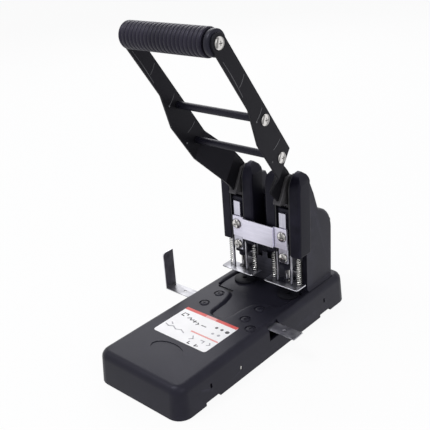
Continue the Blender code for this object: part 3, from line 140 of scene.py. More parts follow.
# Print on the card, in shares of its width and of its length from the rear edge; a disc adds its radius
PRINT_PROUD = 0.00003
BAND_DEPTH = 0.085
RED_BAND = (0.004, 0.996)
PALE_BAND = (0.40, 0.60)
PALE_BAR = (0.485, 0.99, 0.595, 0.635)
BLACK_DISCS = ((0.735, 0.25, 0.0023), (0.832, 0.247, 0.0023), (0.935, 0.255, 0.0031))
GREY_DISCS = ((0.785, 0.445, 0.0021), (0.885, 0.43, 0.0023))
BLACK_STROKES = (((0.085, 0.20), (0.075, 0.29), (0.125, 0.30)),
                 ((0.115, 0.205), (0.165, 0.205), (0.165, 0.245)),
                 ((0.215, 0.31), (0.255, 0.27), (0.285, 0.335), (0.325, 0.295)),
                 ((0.365, 0.30), (0.365, 0.36)),
                 ((0.335, 0.33), (0.395, 0.33)),
                 ((0.43, 0.33), (0.455, 0.36), (0.43, 0.39)),
                 ((0.515, 0.352), (0.590, 0.352)),
                 ((0.645, 0.90), (0.645, 0.955), (0.675, 0.955)),
                 ((0.775, 0.90), (0.775, 0.955), (0.815, 0.925)))
GREY_STROKES = (((0.05, 0.70), (0.12, 0.735), (0.19, 0.69), (0.27, 0.745), (0.35, 0.70), (0.43, 0.75)),
                ((0.10, 0.60), (0.14, 0.64)),
                ((0.60, 0.72), (0.64, 0.79), (0.60, 0.84)),
                ((0.76, 0.74), (0.82, 0.74), (0.82, 0.80)),
                ((0.91, 0.72), (0.94, 0.77), (0.91, 0.81)))
STROKE_WIDTH = 0.0017

# Finishes: shine of the coats, tint of their reflections, and depths of grain
COAT_SHINE = 0.22
COAT_TINT = (0.84, 0.83, 1.0, 1)
RUBBER_TINT = (0.80, 0.78, 1.0, 1)
DEEP_GRAIN = 0.00005
FINE_GRAIN = 0.00003
FAINT_GRAIN = 0.00002

# Paler edges, partly wear and partly painted highlight: how much paler they are, the part of a noise that
# lets them show, and how sharp a corner they take
EDGE_LIFT = 2.2
EDGE_NOISE = (0.35, 0.7)
COAT_CORNER = (0.53, 0.60)
FRAME_CORNER = (0.51, 0.55)
GAUGE_CORNER = (0.51, 0.56)
STRIPPER_CORNER = (0.52, 0.58)

# Painted shade near other surfaces: its colour, how open a place keeps it away, and how far it looks for
# other surfaces
CREVICE_SHADE = (0.012, 0.012, 0.014)
CREVICE_SHADE_SHARES = (0.45, 0.92)
CREVICE_SHADE_SAMPLES = 6
CREVICE_SHADE_REACH = 0.002
FRAME_CREVICE_SHADE_REACH = 0.003
WIRE_CREVICE_SHADE_REACH = 0.0015

# Directions of brushing, as stretch factors of a noise
PLAIN = (1, 1, 1)
BRUSHED_ALONG_X = (0.05, 1, 1)
BRUSHED_ALONG_Z = (1, 1, 0.05)
ROLLED_ALONG_X = (0.06, 1, 1)
ROLLED_ALONG_Z = (1, 1, 0.06)

# Painted reflection: how bright plated metal stays, from where it faces the viewer to where it turns away
WIRE_STOPS = ((0.0, 1), (0.14, 1), (0.30, 0.10), (1.0, 0.04))
PAINTED_REFLECTION_STOPS = ((0.0, 0.55), (0.19, 0.10), (0.29, 1), (0.42, 1), (0.52, 0.12), (0.70, 0.85), (0.84, 0.08),
                (1.0, 0.6))
PAINTED_REFLECTION_BLEND = 0.5
PAINTED_REFLECTION_DARK = 0.08
PLATED_DARK = 0.78

# Where a finish changes over a piece: heights of the frames' paint and of the blade's foot, spans along x;
# the blade's foot and the spans mark where painted light changes
FRAME_PAINT = (0.113, 0.1136)
BLADE_FOOT = (0.042, 0.050)
STRIPPER_SPAN = (-0.070, 0.070)
GAUGE_SPAN = (-0.124, 0.110)

# The slot beside the funnel: two corners of its outline, then the heights of its cut and of the near-black
# plate of painted shade on its floor
SLOT_BOX = ((-0.0560, 0.0372), (-0.0320, 0.0423))
SLOT_CUT = (0.0428, 0.0480)
SLOT_SHADE_HEIGHTS = (0.0422, 0.0430)

# The slope round the funnel: half of its foot's outline, from the middle, then (reach outwards, height)
FUNNEL_MIDDLE = -0.0035
FUNNEL_HALF = ((0.0, -0.0250), (0.0125, -0.0250), (0.0140, 0.0068), (0.0200, 0.0300), (0.0302, 0.0386),
               (0.0570, 0.0408), (0.0570, 0.0882))
FUNNEL_LEVELS = ((-0.0012, 0.04404), (0.0, 0.0442), (0.0010, 0.0449), (0.0022, 0.0458), (0.0034, 0.0465),
                 (0.0046, 0.04688), (0.0058, 0.04699), (0.0064, 0.0475))

# The bright fastener ends in the base's sides: (y, z), size along them, depths of their two faces
FASTENER_PLACE = (-0.06765, 0.0175)
FASTENER_SIZE = (0.0028, 0.0058)
FASTENER_DEPTHS = (0.0048, 0.0016)

# Floor and world
FLOOR_SIZE = 12.0
FLOOR_COLOR = (0.88, 0.88, 0.89)
FLOOR_ROUGHNESS = 0.9
FLOOR_SHINE = 0.1
FLOOR_WHITE = 0.93
WORLD_COLOR = (0.94, 0.94, 1.0, 1)
WORLD_LEVEL = 0.42

# Lamps: name, place, height of the point that it shines at, size and power
LAMPS = (("key", (-0.5, -0.9, 2.0), 0.1, 0.9, 19),
         ("fill", (1.7, -0.5, 1.2), 0.2, 1.6, 9),
         ("sheen", (-1.3, 1.5, 1.5), 0.1, 1.8, 16))


def material(name, color, roughness, metallic=0.0):
    """A Principled material with its tree and its shader."""
    made = bpy.data.materials.new(name)
    made.use_nodes = True
    tree = made.node_tree
    shader = tree.nodes["Principled BSDF"]
    shader.inputs["Base Color"].default_value = (*color, 1)
    shader.inputs["Roughness"].default_value = roughness
    shader.inputs["Metallic"].default_value = metallic
    return made, tree, shader


def add_node(tree, kind, **values):
    """A shader node with values for its inputs, or for its own settings."""
    made = tree.nodes.new(kind)
    for key, value in values.items():
        if key in made.inputs.keys():
            made.inputs[key].default_value = value
        else:
            setattr(made, key, value)
    return made


def calculate(tree, operation, *values):
    """A math node on sockets and plain numbers."""
    made = add_node(tree, "ShaderNodeMath", operation=operation)
    for socket, value in zip(made.inputs, values):
        if isinstance(value, bpy.types.NodeSocket):
            tree.links.new(value, socket)
        else:
            socket.default_value = value
    return made.outputs[0]


def average(tree, first, second):
    """The middle of two values."""
    return calculate(tree, "MULTIPLY_ADD", first, 0.5, calculate(tree, "MULTIPLY", second, 0.5))


def plain_color(tree, color):
    """One colour as a socket."""
    made = add_node(tree, "ShaderNodeRGB")
    made.outputs[0].default_value = (*color, 1)
    return made.outputs[0]


def scaled(color, share):
    return tuple(share * value for value in color)


def own_place(tree, axis):
    """A point's place along X, Y or Z in the piece's own coordinates."""
    where = add_node(tree, "ShaderNodeTexCoord")
    parts = add_node(tree, "ShaderNodeSeparateXYZ")
    tree.links.new(where.outputs["Object"], parts.inputs["Vector"])
    return parts.outputs[axis]


def object_noise(tree, scale, detail, stretch=PLAIN):
    """Noise in the piece's own coordinates; a small stretch factor draws it out along that axis."""
    where = add_node(tree, "ShaderNodeTexCoord")
    mapping = add_node(tree, "ShaderNodeMapping", Scale=stretch)
    noise = add_node(tree, "ShaderNodeTexNoise", Scale=scale, Detail=detail)
    tree.links.new(where.outputs["Object"], mapping.inputs["Vector"])
    tree.links.new(mapping.outputs["Vector"], noise.inputs["Vector"])
    return noise.outputs["Fac"]


def ramp(tree, source, stops):
    """A colour ramp from (position, colour) stops."""
    made = add_node(tree, "ShaderNodeValToRGB")
    elements = made.color_ramp.elements
    while len(elements) < len(stops):
        elements.new(0.5)
    for element, (place, color) in zip(elements, stops):
        element.position = place
        element.color = (*color, 1)
    tree.links.new(source, made.inputs["Fac"])
    return made.outputs["Color"]


def mottle(tree, dark, light, scale, detail=5, stretch=PLAIN, low=0.3, high=0.7):
    """Two tints clouded together by a noise."""
    return ramp(tree, object_noise(tree, scale, detail, stretch), [(low, dark), (high, light)])


def spread(tree, source, low, high, start=0.0, end=1.0):
    """Map a value from the range start to end onto the range low to high."""
    made = add_node(tree, "ShaderNodeMapRange")
    for name, value in (("From Min", start), ("From Max", end), ("To Min", low), ("To Max", high)):
        made.inputs[name].default_value = value
    tree.links.new(source, made.inputs["Value"])
    return made.outputs["Result"]


def bump(tree, source, depth, normal=None):
    made = add_node(tree, "ShaderNodeBump", Strength=1.0, Distance=depth)
    tree.links.new(source, made.inputs["Height"])
    if normal:
        tree.links.new(normal, made.inputs["Normal"])
    return made.outputs["Normal"]


def varied(tree, scale, detail, low, high):
    """A value that a noise varies from low to high."""
    return spread(tree, object_noise(tree, scale, detail), low, high)


def grain(tree, scale, detail, depth, under=None):
    """Fine relief from a noise, on top of a coarser relief if there is one."""
    return bump(tree, object_noise(tree, scale, detail), depth, under)


def plug(tree, shader, color, roughness, relief):
    """Give a shader its colour, roughness and relief."""
    for name, source in (("Base Color", color), ("Roughness", roughness), ("Normal", relief)):
        tree.links.new(source, shader.inputs[name])


def mix_colors(tree, share, first, second):
    made = add_node(tree, "ShaderNodeMix", data_type="RGBA")
    tree.links.new(share, made.inputs["Factor"])
    tree.links.new(first, made.inputs["A"])
    tree.links.new(second, made.inputs["B"])
    return made.outputs["Result"]


def sharp_corner(tree, corner):
    """0 on flat faces and 1 where the surface turns a tight outer corner."""
    shape = add_node(tree, "ShaderNodeNewGeometry")
    return spread(tree, shape.outputs["Pointiness"], 0, 1, *corner)


def worn_edges(tree, color, worn_or_lit, corner=COAT_CORNER):
    """Lighten a colour where the surface turns a tight outer corner and a noise lets it: partly wear and
    partly painted highlight.
    """
    noise = spread(tree, object_noise(tree, 60, 5), 0, 1, *EDGE_NOISE)
    patchy = calculate(tree, "MULTIPLY", sharp_corner(tree, corner), noise)
    return mix_colors(tree, patchy, color, plain_color(tree, worn_or_lit))


def crevices(tree, color, reach):
    """Painted shade: darken a colour where other surfaces are close in front of it, as shade falls there."""
    near = add_node(tree, "ShaderNodeAmbientOcclusion", samples=CREVICE_SHADE_SAMPLES, Distance=reach)
    open_share = spread(tree, near.outputs["AO"], 0, 1, *CREVICE_SHADE_SHARES)
    return mix_colors(tree, open_share, plain_color(tree, CREVICE_SHADE), color)


def powder_coat(name, dark, light, gloss, shine=COAT_SHINE):
    """Satin powder coat: fine orange peel, slight cloudiness in gloss and tint, paler edges that are partly
    wear and partly painted highlight.
    """
    made, tree, shader = material(name, light, gloss)
    shader.inputs["Specular IOR Level"].default_value = shine
    shader.inputs["Specular Tint"].default_value = COAT_TINT
    tint = worn_edges(tree, mottle(tree, dark, light, 9), scaled(light, EDGE_LIFT))
    roughness = varied(tree, 22, 6, gloss * 0.88, gloss * 1.15)
    coarse = grain(tree, 900, 2, DEEP_GRAIN)
    plug(tree, shader, tint, roughness, grain(tree, 2600, 2, FINE_GRAIN, coarse))
    return made


def rubber():
    made, tree, shader = material("black_rubber", (0.02, 0.018, 0.03), 0.45)
    shader.inputs["Specular IOR Level"].default_value = COAT_SHINE
    shader.inputs["Specular Tint"].default_value = RUBBER_TINT
    tint = mottle(tree, (0.011, 0.010, 0.016), (0.020, 0.018, 0.029), 30, high=0.75)
    roughness = varied(tree, 120, 4, 0.36, 0.52)
    plug(tree, shader, tint, roughness, grain(tree, 1800, 3, DEEP_GRAIN))
    return made


def moulded_plastic():
    made, tree, shader = material("black_moulding", (0.02, 0.02, 0.022), 0.55)
    tint = mottle(tree, (0.012, 0.012, 0.014), (0.018, 0.018, 0.021), 14, 4)
    roughness = varied(tree, 200, 4, 0.5, 0.66)
    plug(tree, shader, tint, roughness, grain(tree, 1500, 2, DEEP_GRAIN))
    return made


def sheet_steel(name, dark, light, low_gloss, high_gloss, stretch, metallic=1.0, reach=0.0):
    """Rolled or brushed steel: streaks along one axis in colour, gloss and relief, and painted shade near
    other surfaces when a reach is given.
    """
    made, tree, shader = material(name, light, low_gloss, metallic)
    streaks = object_noise(tree, 500, 3, stretch)
    cloudy = average(tree, streaks, object_noise(tree, 25, 5))
    tint = ramp(tree, cloudy, [(0.35, dark), (0.65, light)])
    if reach:
        tint = crevices(tree, tint, reach)
    plug(tree, shader, tint, spread(tree, cloudy, low_gloss, high_gloss), bump(tree, streaks, FINE_GRAIN))
    return made


def frame_steel():
    """Zinc sheet whose upper part is painted black, as far down as the columns reach; the bare zinc has paler
    edges, partly wear and partly painted highlight, and painted shade near other surfaces.
    """
    made, tree, shader = material("zinc_and_black_frame", (0.6, 0.6, 0.66), 0.34)
    bare = spread(tree, own_place(tree, "Z"), 1, 0, *FRAME_PAINT)
    zinc = mottle(tree, (0.10, 0.10, 0.12), (0.20, 0.20, 0.24), 400, 3, BRUSHED_ALONG_Z, 0.35, 0.65)
    zinc = worn_edges(tree, zinc, (0.75, 0.74, 0.80), FRAME_CORNER)
    paint = mottle(tree, (0.006, 0.006, 0.009), (0.010, 0.010, 0.013), 9)
    tint = mix_colors(tree, bare, paint, crevices(tree, zinc, FRAME_CREVICE_SHADE_REACH))
    roughness = varied(tree, 300, 4, 0.28, 0.45)
    plug(tree, shader, tint, roughness, grain(tree, 900, 3, FAINT_GRAIN))
    tree.links.new(bare, shader.inputs["Metallic"])
    return made


def stripper_steel():
    """Oiled dark plate with painted light: paler towards its left end, and painted bright highlights along
    its edges except at that end.
    """
    made, tree, shader = material("oiled_plate_painted_light", (0.2, 0.2, 0.24), 0.3, 1.0)
    along = spread(tree, own_place(tree, "X"), 0, 1, *STRIPPER_SPAN)
    sheet = ramp(tree, along, [(0.0, (0.17, 0.17, 0.185)), (0.18, (0.15, 0.15, 0.17)),
                               (0.42, (0.07, 0.07, 0.09)), (1.0, (0.055, 0.06, 0.085))])
    bright = ramp(tree, along, [(0.06, (0.17, 0.17, 0.185)), (0.13, (0.80, 0.80, 0.86))])
    tint = mix_colors(tree, sharp_corner(tree, STRIPPER_CORNER), sheet, bright)
    streaks = object_noise(tree, 500, 4, BRUSHED_ALONG_X)
    plug(tree, shader, tint, spread(tree, streaks, 0.25, 0.42), bump(tree, streaks, FAINT_GRAIN))
    return made


def gauge_steel():
    """Brushed gauge sheet with painted light: a tint that changes a little along its length and a paler tint
    on the upright blade for how each part catches the light, and paler edges, partly wear and partly painted
    highlight.
    """
    made, tree, shader = material("brushed_gauge_sheet", (0.5, 0.5, 0.54), 0.34, 1.0)
    along = spread(tree, own_place(tree, "X"), 0, 1, *GAUGE_SPAN)
    sheet = ramp(tree, along, [(0.0, (0.21, 0.21, 0.225)), (0.35, (0.24, 0.24, 0.26)),
                               (0.8, (0.22, 0.22, 0.25))])
    blade = mottle(tree, (0.21, 0.20, 0.24), (0.32, 0.31, 0.36), 420, 4, BRUSHED_ALONG_Z)
    up = spread(tree, own_place(tree, "Z"), 0, 1, *BLADE_FOOT)
    tint = worn_edges(tree, mix_colors(tree, up, sheet, blade), (0.78, 0.78, 0.82), GAUGE_CORNER)
    streaks = object_noise(tree, 600, 4, BRUSHED_ALONG_X)
    plug(tree, shader, tint, spread(tree, streaks, 0.24, 0.44), bump(tree, streaks, FAINT_GRAIN))
    return made


def mirrored_surroundings(tree, color, dark, stops):
    """Painted reflection: darken bright metal in bands by how far its curve turns from the viewer, for the
    dark pieces around it that it would mirror.
    """
    turn = add_node(tree, "ShaderNodeLayerWeight", Blend=PAINTED_REFLECTION_BLEND)
    share = ramp(tree, turn.outputs["Facing"], [(place, (level,) * 3) for place, level in stops])
    return mix_colors(tree, share, plain_color(tree, dark), color)


def plated(name, color, gloss, reach=CREVICE_SHADE_REACH, stops=PAINTED_REFLECTION_STOPS):
    """Bright plated metal with faint clouding and hairline marks, painted reflection bands and painted shade
    near other surfaces.
    """
    made, tree, shader = material(name, color, gloss, 1.0)
    tint = mottle(tree, scaled(color, PLATED_DARK), color, 160, high=0.65)
    tint = crevices(tree, mirrored_surroundings(tree, tint, scaled(color, PAINTED_REFLECTION_DARK), stops), reach)
    roughness = varied(tree, 340, 5, gloss * 0.8, gloss * 1.35)
    plug(tree, shader, tint, roughness, grain(tree, 700, 3, FAINT_GRAIN))
    return made


def paper(name, dark, light, gloss=0.4):
    """Printed or plain coated card with slight mottling."""
    made, tree, shader = material(name, light, gloss)
    roughness = varied(tree, 300, 3, gloss * 0.9, gloss * 1.2)
    relief = grain(tree, 1500, 2, FAINT_GRAIN)
    plug(tree, shader, mottle(tree, dark, light, 60), roughness, relief)
    return made


MATERIALS = {
    "satin_black": powder_coat("satin_black_coat", (0.0075, 0.0073, 0.0120), (0.0115, 0.0111, 0.0178), 0.40),
    "arm_black": powder_coat("arm_black_coat", (0.0060, 0.0058, 0.0072), (0.0092, 0.0089, 0.0110),
                             0.46, 0.14),
    "hub_black": powder_coat("hub_black_coat", (0.058, 0.056, 0.058), (0.078, 0.075, 0.077), 0.42),
    # Columns: the satin coat with less shine and a darker tint, painted shade for how little light their
    # faces catch
    "column_black_painted_shade": powder_coat("column_black_painted_shade_coat", (0.0062, 0.0060, 0.0105), (0.0096, 0.0092, 0.0158),
                                0.40, 0.13),
    "die_black": powder_coat("die_black_oxide", (0.005, 0.005, 0.007), (0.011, 0.011, 0.014), 0.45, 0.10),
    "rubber": rubber(),
    "black_plastic": moulded_plastic(),
    "dark_steel": sheet_steel("black_oxide_steel", (0.016, 0.016, 0.020), (0.040, 0.039, 0.046),
                              0.34, 0.5, ROLLED_ALONG_Z, 0.5),
    "backstop": sheet_steel("grey_phosphate_sheet", (0.05, 0.05, 0.065), (0.10, 0.10, 0.125),
                            0.4, 0.55, ROLLED_ALONG_X, 0.8),
    "bright_steel": sheet_steel("satin_zinc_sheet", (0.66, 0.65, 0.76), (0.84, 0.82, 0.94),
                                0.28, 0.42, BRUSHED_ALONG_X, 1.0, CREVICE_SHADE_REACH),
    "frame": frame_steel(),
    "stripper": stripper_steel(),
    "gauge": gauge_steel(),
    "pressed_line": powder_coat("pressed_line_coat", (0.060, 0.060, 0.062), (0.095, 0.095, 0.098), 0.42),
    # Painted shade: a near-black sheet on the slot's floor so that it reads as deep shade
    "slot_painted_shade": sheet_steel("slot_shade", (0.002, 0.002, 0.002), (0.004, 0.004, 0.005),
                             0.8, 0.9, PLAIN, 0.0),
    "face_zinc": sheet_steel("face_plate_zinc", (0.50, 0.50, 0.58), (0.68, 0.67, 0.76),
                             0.28, 0.42, BRUSHED_ALONG_Z, 1.0, CREVICE_SHADE_REACH),
    "spring_wire": plated("spring_wire", (0.90, 0.89, 0.87), 0.20, WIRE_CREVICE_SHADE_REACH, WIRE_STOPS),
    "nickel": plated("bright_nickel", (0.80, 0.78, 0.76), 0.17),
    "bronze": plated("oiled_bronze", (0.45, 0.31, 0.15), 0.35),
    "card": paper("label_card", (0.89, 0.885, 0.89), (0.94, 0.935, 0.94)),
    "red_ink": paper("red_ink", (0.60, 0.045, 0.035), (0.70, 0.065, 0.05)),
    "pale_ink": paper("pale_red_ink", (0.74, 0.28, 0.26), (0.80, 0.36, 0.34)),
    "black_ink": paper("black_ink", (0.018, 0.018, 0.02), (0.035, 0.035, 0.04)),
    "grey_ink": paper("grey_ink", (0.34, 0.33, 0.36), (0.46, 0.45, 0.48)),
}

# Looks that differ from the node's slot, by node and by pair of nodes
LOOK_OF = {"gauge_bar": "gauge", "backstop": "backstop"}
PAIRED_LOOKS = {"arm": "arm_black", "lever_hub": "hub_black", "die": "die_black",
                "column_inner": "column_black_painted_shade", "column_outer": "column_black_painted_shade",
                "head_frame": "frame", "stripper_plate": "stripper", "face_plate": "face_zinc",
                "return_spring_inner": "spring_wire", "return_spring_outer": "spring_wire"}
LOOK_OF.update({pair + "_" + side: look for pair, look in PAIRED_LOOKS.items() for side, _ in SIDES})


def link_mesh(work, name):
    """Turn a finished bmesh into an object."""
    bmesh.ops.recalc_face_normals(work, faces=work.faces)
    mesh = bpy.data.meshes.new(name)
    work.to_mesh(mesh)
    work.free()
    piece = bpy.data.objects.new(name, mesh)
    bpy.context.scene.collection.objects.link(piece)
    return piece


def dress(piece, body, look):
    """Finish a mesh with the material of its look, smooth shading and sharp edges by angle, and put it on a
    body.
    """
    piece.data.materials.clear()
    piece.data.materials.append(MATERIALS[look])
    piece.data.shade_smooth()
    piece.data.set_sharp_from_angle(angle=SHARP_ANGLE)
    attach(piece, body)


def stand_in(piece, node):
    """Let a finished mesh stand for a CAD node."""
    dress(piece, BODY_OF[node], LOOK_OF.get(node, SLOT_OF[node]))
    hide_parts(node)


def carve(piece, cutters):
    """Cut solids out of a piece for good, after the modifiers that it already has."""
    for cutter in cutters:
        cut = piece.modifiers.new("cut", "BOOLEAN")
        cut.operation = "DIFFERENCE"
        cut.solver = "EXACT"
        cut.use_self = True
        cut.object = cutter
    graph = bpy.context.evaluated_depsgraph_get()
    piece.data = bpy.data.meshes.new_from_object(piece.evaluated_get(graph))
    piece.modifiers.clear()
    for cutter in cutters:
        bpy.data.objects.remove(cutter)


def loft(work, rings):
    """A closed solid through rings of places, with a flat face at either end."""
    rows = [[work.verts.new(place) for place in ring] for ring in rings]
    work.faces.new(rows[0])
    work.faces.new(rows[-1])
    for first, second in zip(rows, rows[1:]):
        for i in range(len(first)):
            after = (i + 1) % len(first)
            work.faces.new((first[i], first[after], second[after], second[i]))


def upright_prism(work, outline, bottom, top):
    """An outline of (x, y) points as a solid from one height to another."""
    loft(work, [[(x, y, z) for x, y in outline] for z in (bottom, top)])


def oval(x, y, half_width, half_height, steps):
    """Points round an oval about (x, y)."""
    turns = [math.tau * i / steps for i in range(steps)]
    return [(x + half_width * math.cos(turn), y + half_height * math.sin(turn)) for turn in turns]


def smoothed(points):
    """Cut the corners of an open line again and again, keeping its ends."""
    for _ in range(SMOOTH_ROUNDS):
        cut = [points[0]]
        for a, b in zip(points, points[1:]):
            cut += [(a[0] * (1 - t) + b[0] * t, a[1] * (1 - t) + b[1] * t) for t in CORNER_SHARES]
        points = cut + [points[-1]]
    return points


def pushed_out(points, reach):
    """An open line moved sideways by reach, out of the shape that it goes round."""
    moved = []
    for i, (x, y) in enumerate(points):
        before, after = points[max(i - 1, 0)], points[min(i + 1, len(points) - 1)]
        out = Vector((after[1] - before[1], before[0] - after[0])).normalized()
        moved.append((x + reach * out.x, y + reach * out.y))
    return moved


def funnel_cutter():
    """A solid that turns the funnel's upright wall into a soft slope up to the cover's top."""
    half = smoothed(FUNNEL_HALF)
    rings = []
    for reach, height in FUNNEL_LEVELS:
        right = pushed_out(half, reach)
        left = [(-x, y) for x, y in reversed(right[1:])]
        rings.append([(FUNNEL_MIDDLE + x, y, height) for x, y in right + left])
    work = bmesh.new()
    loft(work, rings)
    return link_mesh(work, "funnel_cutter")


def slot_solid(name, bottom, top):
    """The upright solid of the rounded slot beside the funnel."""
    (x0, y0), (x1, y1) = SLOT_BOX
    radius = (y1 - y0) / 2
    outline = []
    for centre, start in ((x1 - radius, -90), (x0 + radius, 90)):
        for step in range(SLOT_STEPS + 1):
            angle = math.radians(start + 180 * step / SLOT_STEPS)
            outline.append((centre + radius * math.cos(angle), y0 + radius + radius * math.sin(angle)))
    work = bmesh.new()
    upright_prism(work, outline, bottom, top)
    return link_mesh(work, name)


def soften(node):
    """A copy of a CAD node's solid with its faces joined up and its edges broken, as a real edge is."""
    work = bmesh.new()
    work.from_mesh(NODES[node].data)
    bmesh.ops.remove_doubles(work, verts=work.verts, dist=WELD)
    bmesh.ops.dissolve_limit(work, angle_limit=FLAT_ANGLE, verts=work.verts, edges=work.edges)
    piece = link_mesh(work, node + "_shell")
    bevel = piece.modifiers.new("edges", "BEVEL")
    bevel.width = EDGE_ROUNDS.get(node, EDGE_ROUND)
    bevel.segments = EDGE_SEGMENTS
    bevel.limit_method = "ANGLE"
    bevel.angle_limit = SHARP_ANGLE
    if node == "base_cover":
        carve(piece, [funnel_cutter(), slot_solid("slot_cutter", *SLOT_CUT)])
    flat = piece.modifiers.new("flat faces", "WEIGHTED_NORMAL")
    flat.keep_sharp = True
    stand_in(piece, node)


def turned_ring(work, profile, place, along, steps=ROUND_STEPS):
    """Turn a closed loop of (radius, place along the axis) about an axis of X, Y or Z through place."""
    axis = "XYZ".index(along)
    across, upright = [(1, 2), (2, 0), (0, 1)][axis]
    rings = []
    for radius, offset in profile:
        ring = []
        for step in range(steps if radius else 1):
            angle = math.tau * step / steps
            point = [0, 0, 0]
            point[axis] = offset
            point[across] = place[across] + radius * math.cos(angle)
            point[upright] = place[upright] + radius * math.sin(angle)
            ring.append(work.verts.new(point))
        rings.append(ring)
    for first, second in zip(rings, rings[1:] + rings[:1]):
        if len(first) == len(second) == 1:
            continue
        for step in range(steps):
            after = (step + 1) % steps
            corners = [first[step % len(first)], first[after % len(first)], second[after % len(second)],
                       second[step % len(second)]]
            work.faces.new(list(dict.fromkeys(corners)))


def turned(name, profile, place, along, steps=ROUND_STEPS):
    work = bmesh.new()
    turned_ring(work, profile, place, along, steps)
    return link_mesh(work, name)


def middle(low, high):
    return tuple((a + b) / 2 for a, b in zip(low, high))


def broken_ends(radius, start, end, edge):
    """The outer line of a round bar from start to end, with its edges broken."""
    bend = edge * EDGE_BEND
    return [(radius - edge, start), (radius - bend, start + bend), (radius, start + edge),
            (radius, end - edge), (radius - bend, end - bend), (radius - edge, end)]


def round_radius(low, high, axis):
    """The radius of a round piece about an axis, from the corners of its box."""
    across = (axis + 1) % 3
    return (high[across] - low[across]) / 2


def round_bar(node, along, bore=0.0):
    """A round bar or tube with broken edges in a node's place; bore is its inner radius."""
    low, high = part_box(node)
    axis = "XYZ".index(along)
    radius = round_radius(low, high, axis)
    start, end = low[axis], high[axis]
    profile = [(bore, start), *broken_ends(radius, start, end, BAR_EDGE), (bore, end)]
    stand_in(turned(node + "_bar", profile, middle(low, high), along), node)


def grip():
    """The sleeve's rounded ribs and soft ends."""
    low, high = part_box("grip_sleeve")
    radius = (high[1] - low[1]) / 2
    pitch = (high[0] - low[0]) / GRIP_RIBS
    chamfer = GROOVE_DEPTH / 2
    profile = [(GRIP_BORE, low[0])]
    for step in range(GRIP_END_STEPS + 1):
        angle = math.pi / 2 * step / GRIP_END_STEPS
        profile.append((radius - GRIP_END_RADIUS * (1 - math.sin(angle)),
                        low[0] + GRIP_END_RADIUS * (1 - math.cos(angle))))
    for rib in range(1, GRIP_RIBS):
        for along_share, depth_share in RIB_SHARES:
            profile.append((radius - GROOVE_DEPTH * depth_share, low[0] + (rib + along_share) * pitch))
    profile += [(radius - GROOVE_DEPTH, high[0] - chamfer), (radius - GROOVE_DEPTH - chamfer, high[0]),
                (GRIP_BORE, high[0])]
    stand_in(turned("grip_ribs", profile, middle(low, high), "X", GRIP_STEPS), "grip_sleeve")


def collar():
    """The grip's tube with the smooth collar at its right end."""
    low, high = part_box("grip_core")
    outer = (high[1] - low[1]) / 2
    tube = GRIP_BORE - SLEEVE_GAP
    start = high[0] - COLLAR_WIDTH
    profile = [(SCREW_BORE, low[0]), (tube, low[0]), (tube, start),
               *broken_ends(outer, start, high[0], COLLAR_EDGE), (SCREW_BORE, high[0])]
    stand_in(turned("grip_collar", profile, middle(low, high), "X"), "grip_core")


def cross_cutter(work, place, axis, facing, top):
    """Two crossing blades that narrow towards the bottom of a screw's recess."""
    for long_axis in ((axis + 1) % 3, (axis + 2) % 3):
        short_axis = 3 - axis - long_axis
        rings = []
        for depth, share in ((-CROSS_DEPTH, CROSS_NARROWING), (CUT_REACH, 1.0)):
            ring = []
            for a, b in ((-1, -1), (1, -1), (1, 1), (-1, 1)):
                point = list(place)
                point[axis] = top + facing * depth
                point[long_axis] += a * CROSS_LENGTH / 2 * share
                point[short_axis] += b * CROSS_WIDTH / 2 * share
                ring.append(point)
            rings.append(ring)
        loft(work, rings)


def screw(node, along, facing):
    """A domed cross-recess screw in a node's place; its head faces along + or - of the axis."""
    low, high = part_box(node)
    axis = "XYZ".index(along)
    place = middle(low, high)
    radius = round_radius(low, high, axis)
    top, tip = (high[axis], low[axis]) if facing > 0 else (low[axis], high[axis])
    height = HEAD_HEIGHTS[along]
    seat = top - facing * height
    profile = [(radius * a, seat + facing * height * b) for a, b in DOME_SHARES]
    profile += [(SHANK_RADIUS, seat), (SHANK_RADIUS, tip), (0, tip)]
    piece = turned(node + "_head", profile, place, along, SCREW_STEPS)
    work = bmesh.new()
    cross_cutter(work, place, axis, facing, top)
    carve(piece, [link_mesh(work, "cutter")])
    stand_in(piece, node)


def coil_height(i, bottom, top):
    """The height of a coil's point i: steep in the open turns, flat in the closed turn at either end."""
    count = SPRING_TURNS * SPRING_POINTS
    closed = SPRING_CLOSED * SPRING_WIRE
    if i < SPRING_POINTS:
        return bottom + closed * i / SPRING_POINTS
    if i > count - SPRING_POINTS:
        return top - closed * (count - i) / SPRING_POINTS
    open_share = (i - SPRING_POINTS) / (count - 2 * SPRING_POINTS)
    return bottom + closed + (top - bottom - 2 * closed) * open_share


def coil_mesh(name, x, y, radius, bottom, top):
    """The mesh of a wire wound about an upright axis at (x, y)."""
    data = bpy.data.curves.new(name, "CURVE")
    data.dimensions = "3D"
    data.bevel_depth = SPRING_WIRE / 2
    data.bevel_resolution = WIRE_ROUNDNESS
    data.use_fill_caps = True
    line = data.splines.new("POLY")
    line.points.add(SPRING_TURNS * SPRING_POINTS)
    for i, point in enumerate(line.points):
        angle = math.tau * i / SPRING_POINTS
        z = coil_height(i, bottom, top)
        point.co = (x + radius * math.cos(angle), y + radius * math.sin(angle), z, 1)
    curve = bpy.data.objects.new(name, data)
    bpy.context.scene.collection.objects.link(curve)
    graph = bpy.context.evaluated_depsgraph_get()
    mesh = bpy.data.meshes.new_from_object(curve.evaluated_get(graph))
    bpy.data.objects.remove(curve)
    return mesh


def spring(node):
    """A close-wound return spring with closed end coils, which follows the slider down."""
    low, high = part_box(node)
    x, y, _ = middle(low, high)
    tube = SPRING_WIRE / 2
    radius = (high[0] - low[0]) / 2 - tube
    mesh = coil_mesh(node, x, y, radius, low[2] + tube, high[2] - tube)
    piece = bpy.data.objects.new(node + "_coil", mesh)
    bpy.context.scene.collection.objects.link(piece)
    stand_in(piece, node)
    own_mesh(piece)


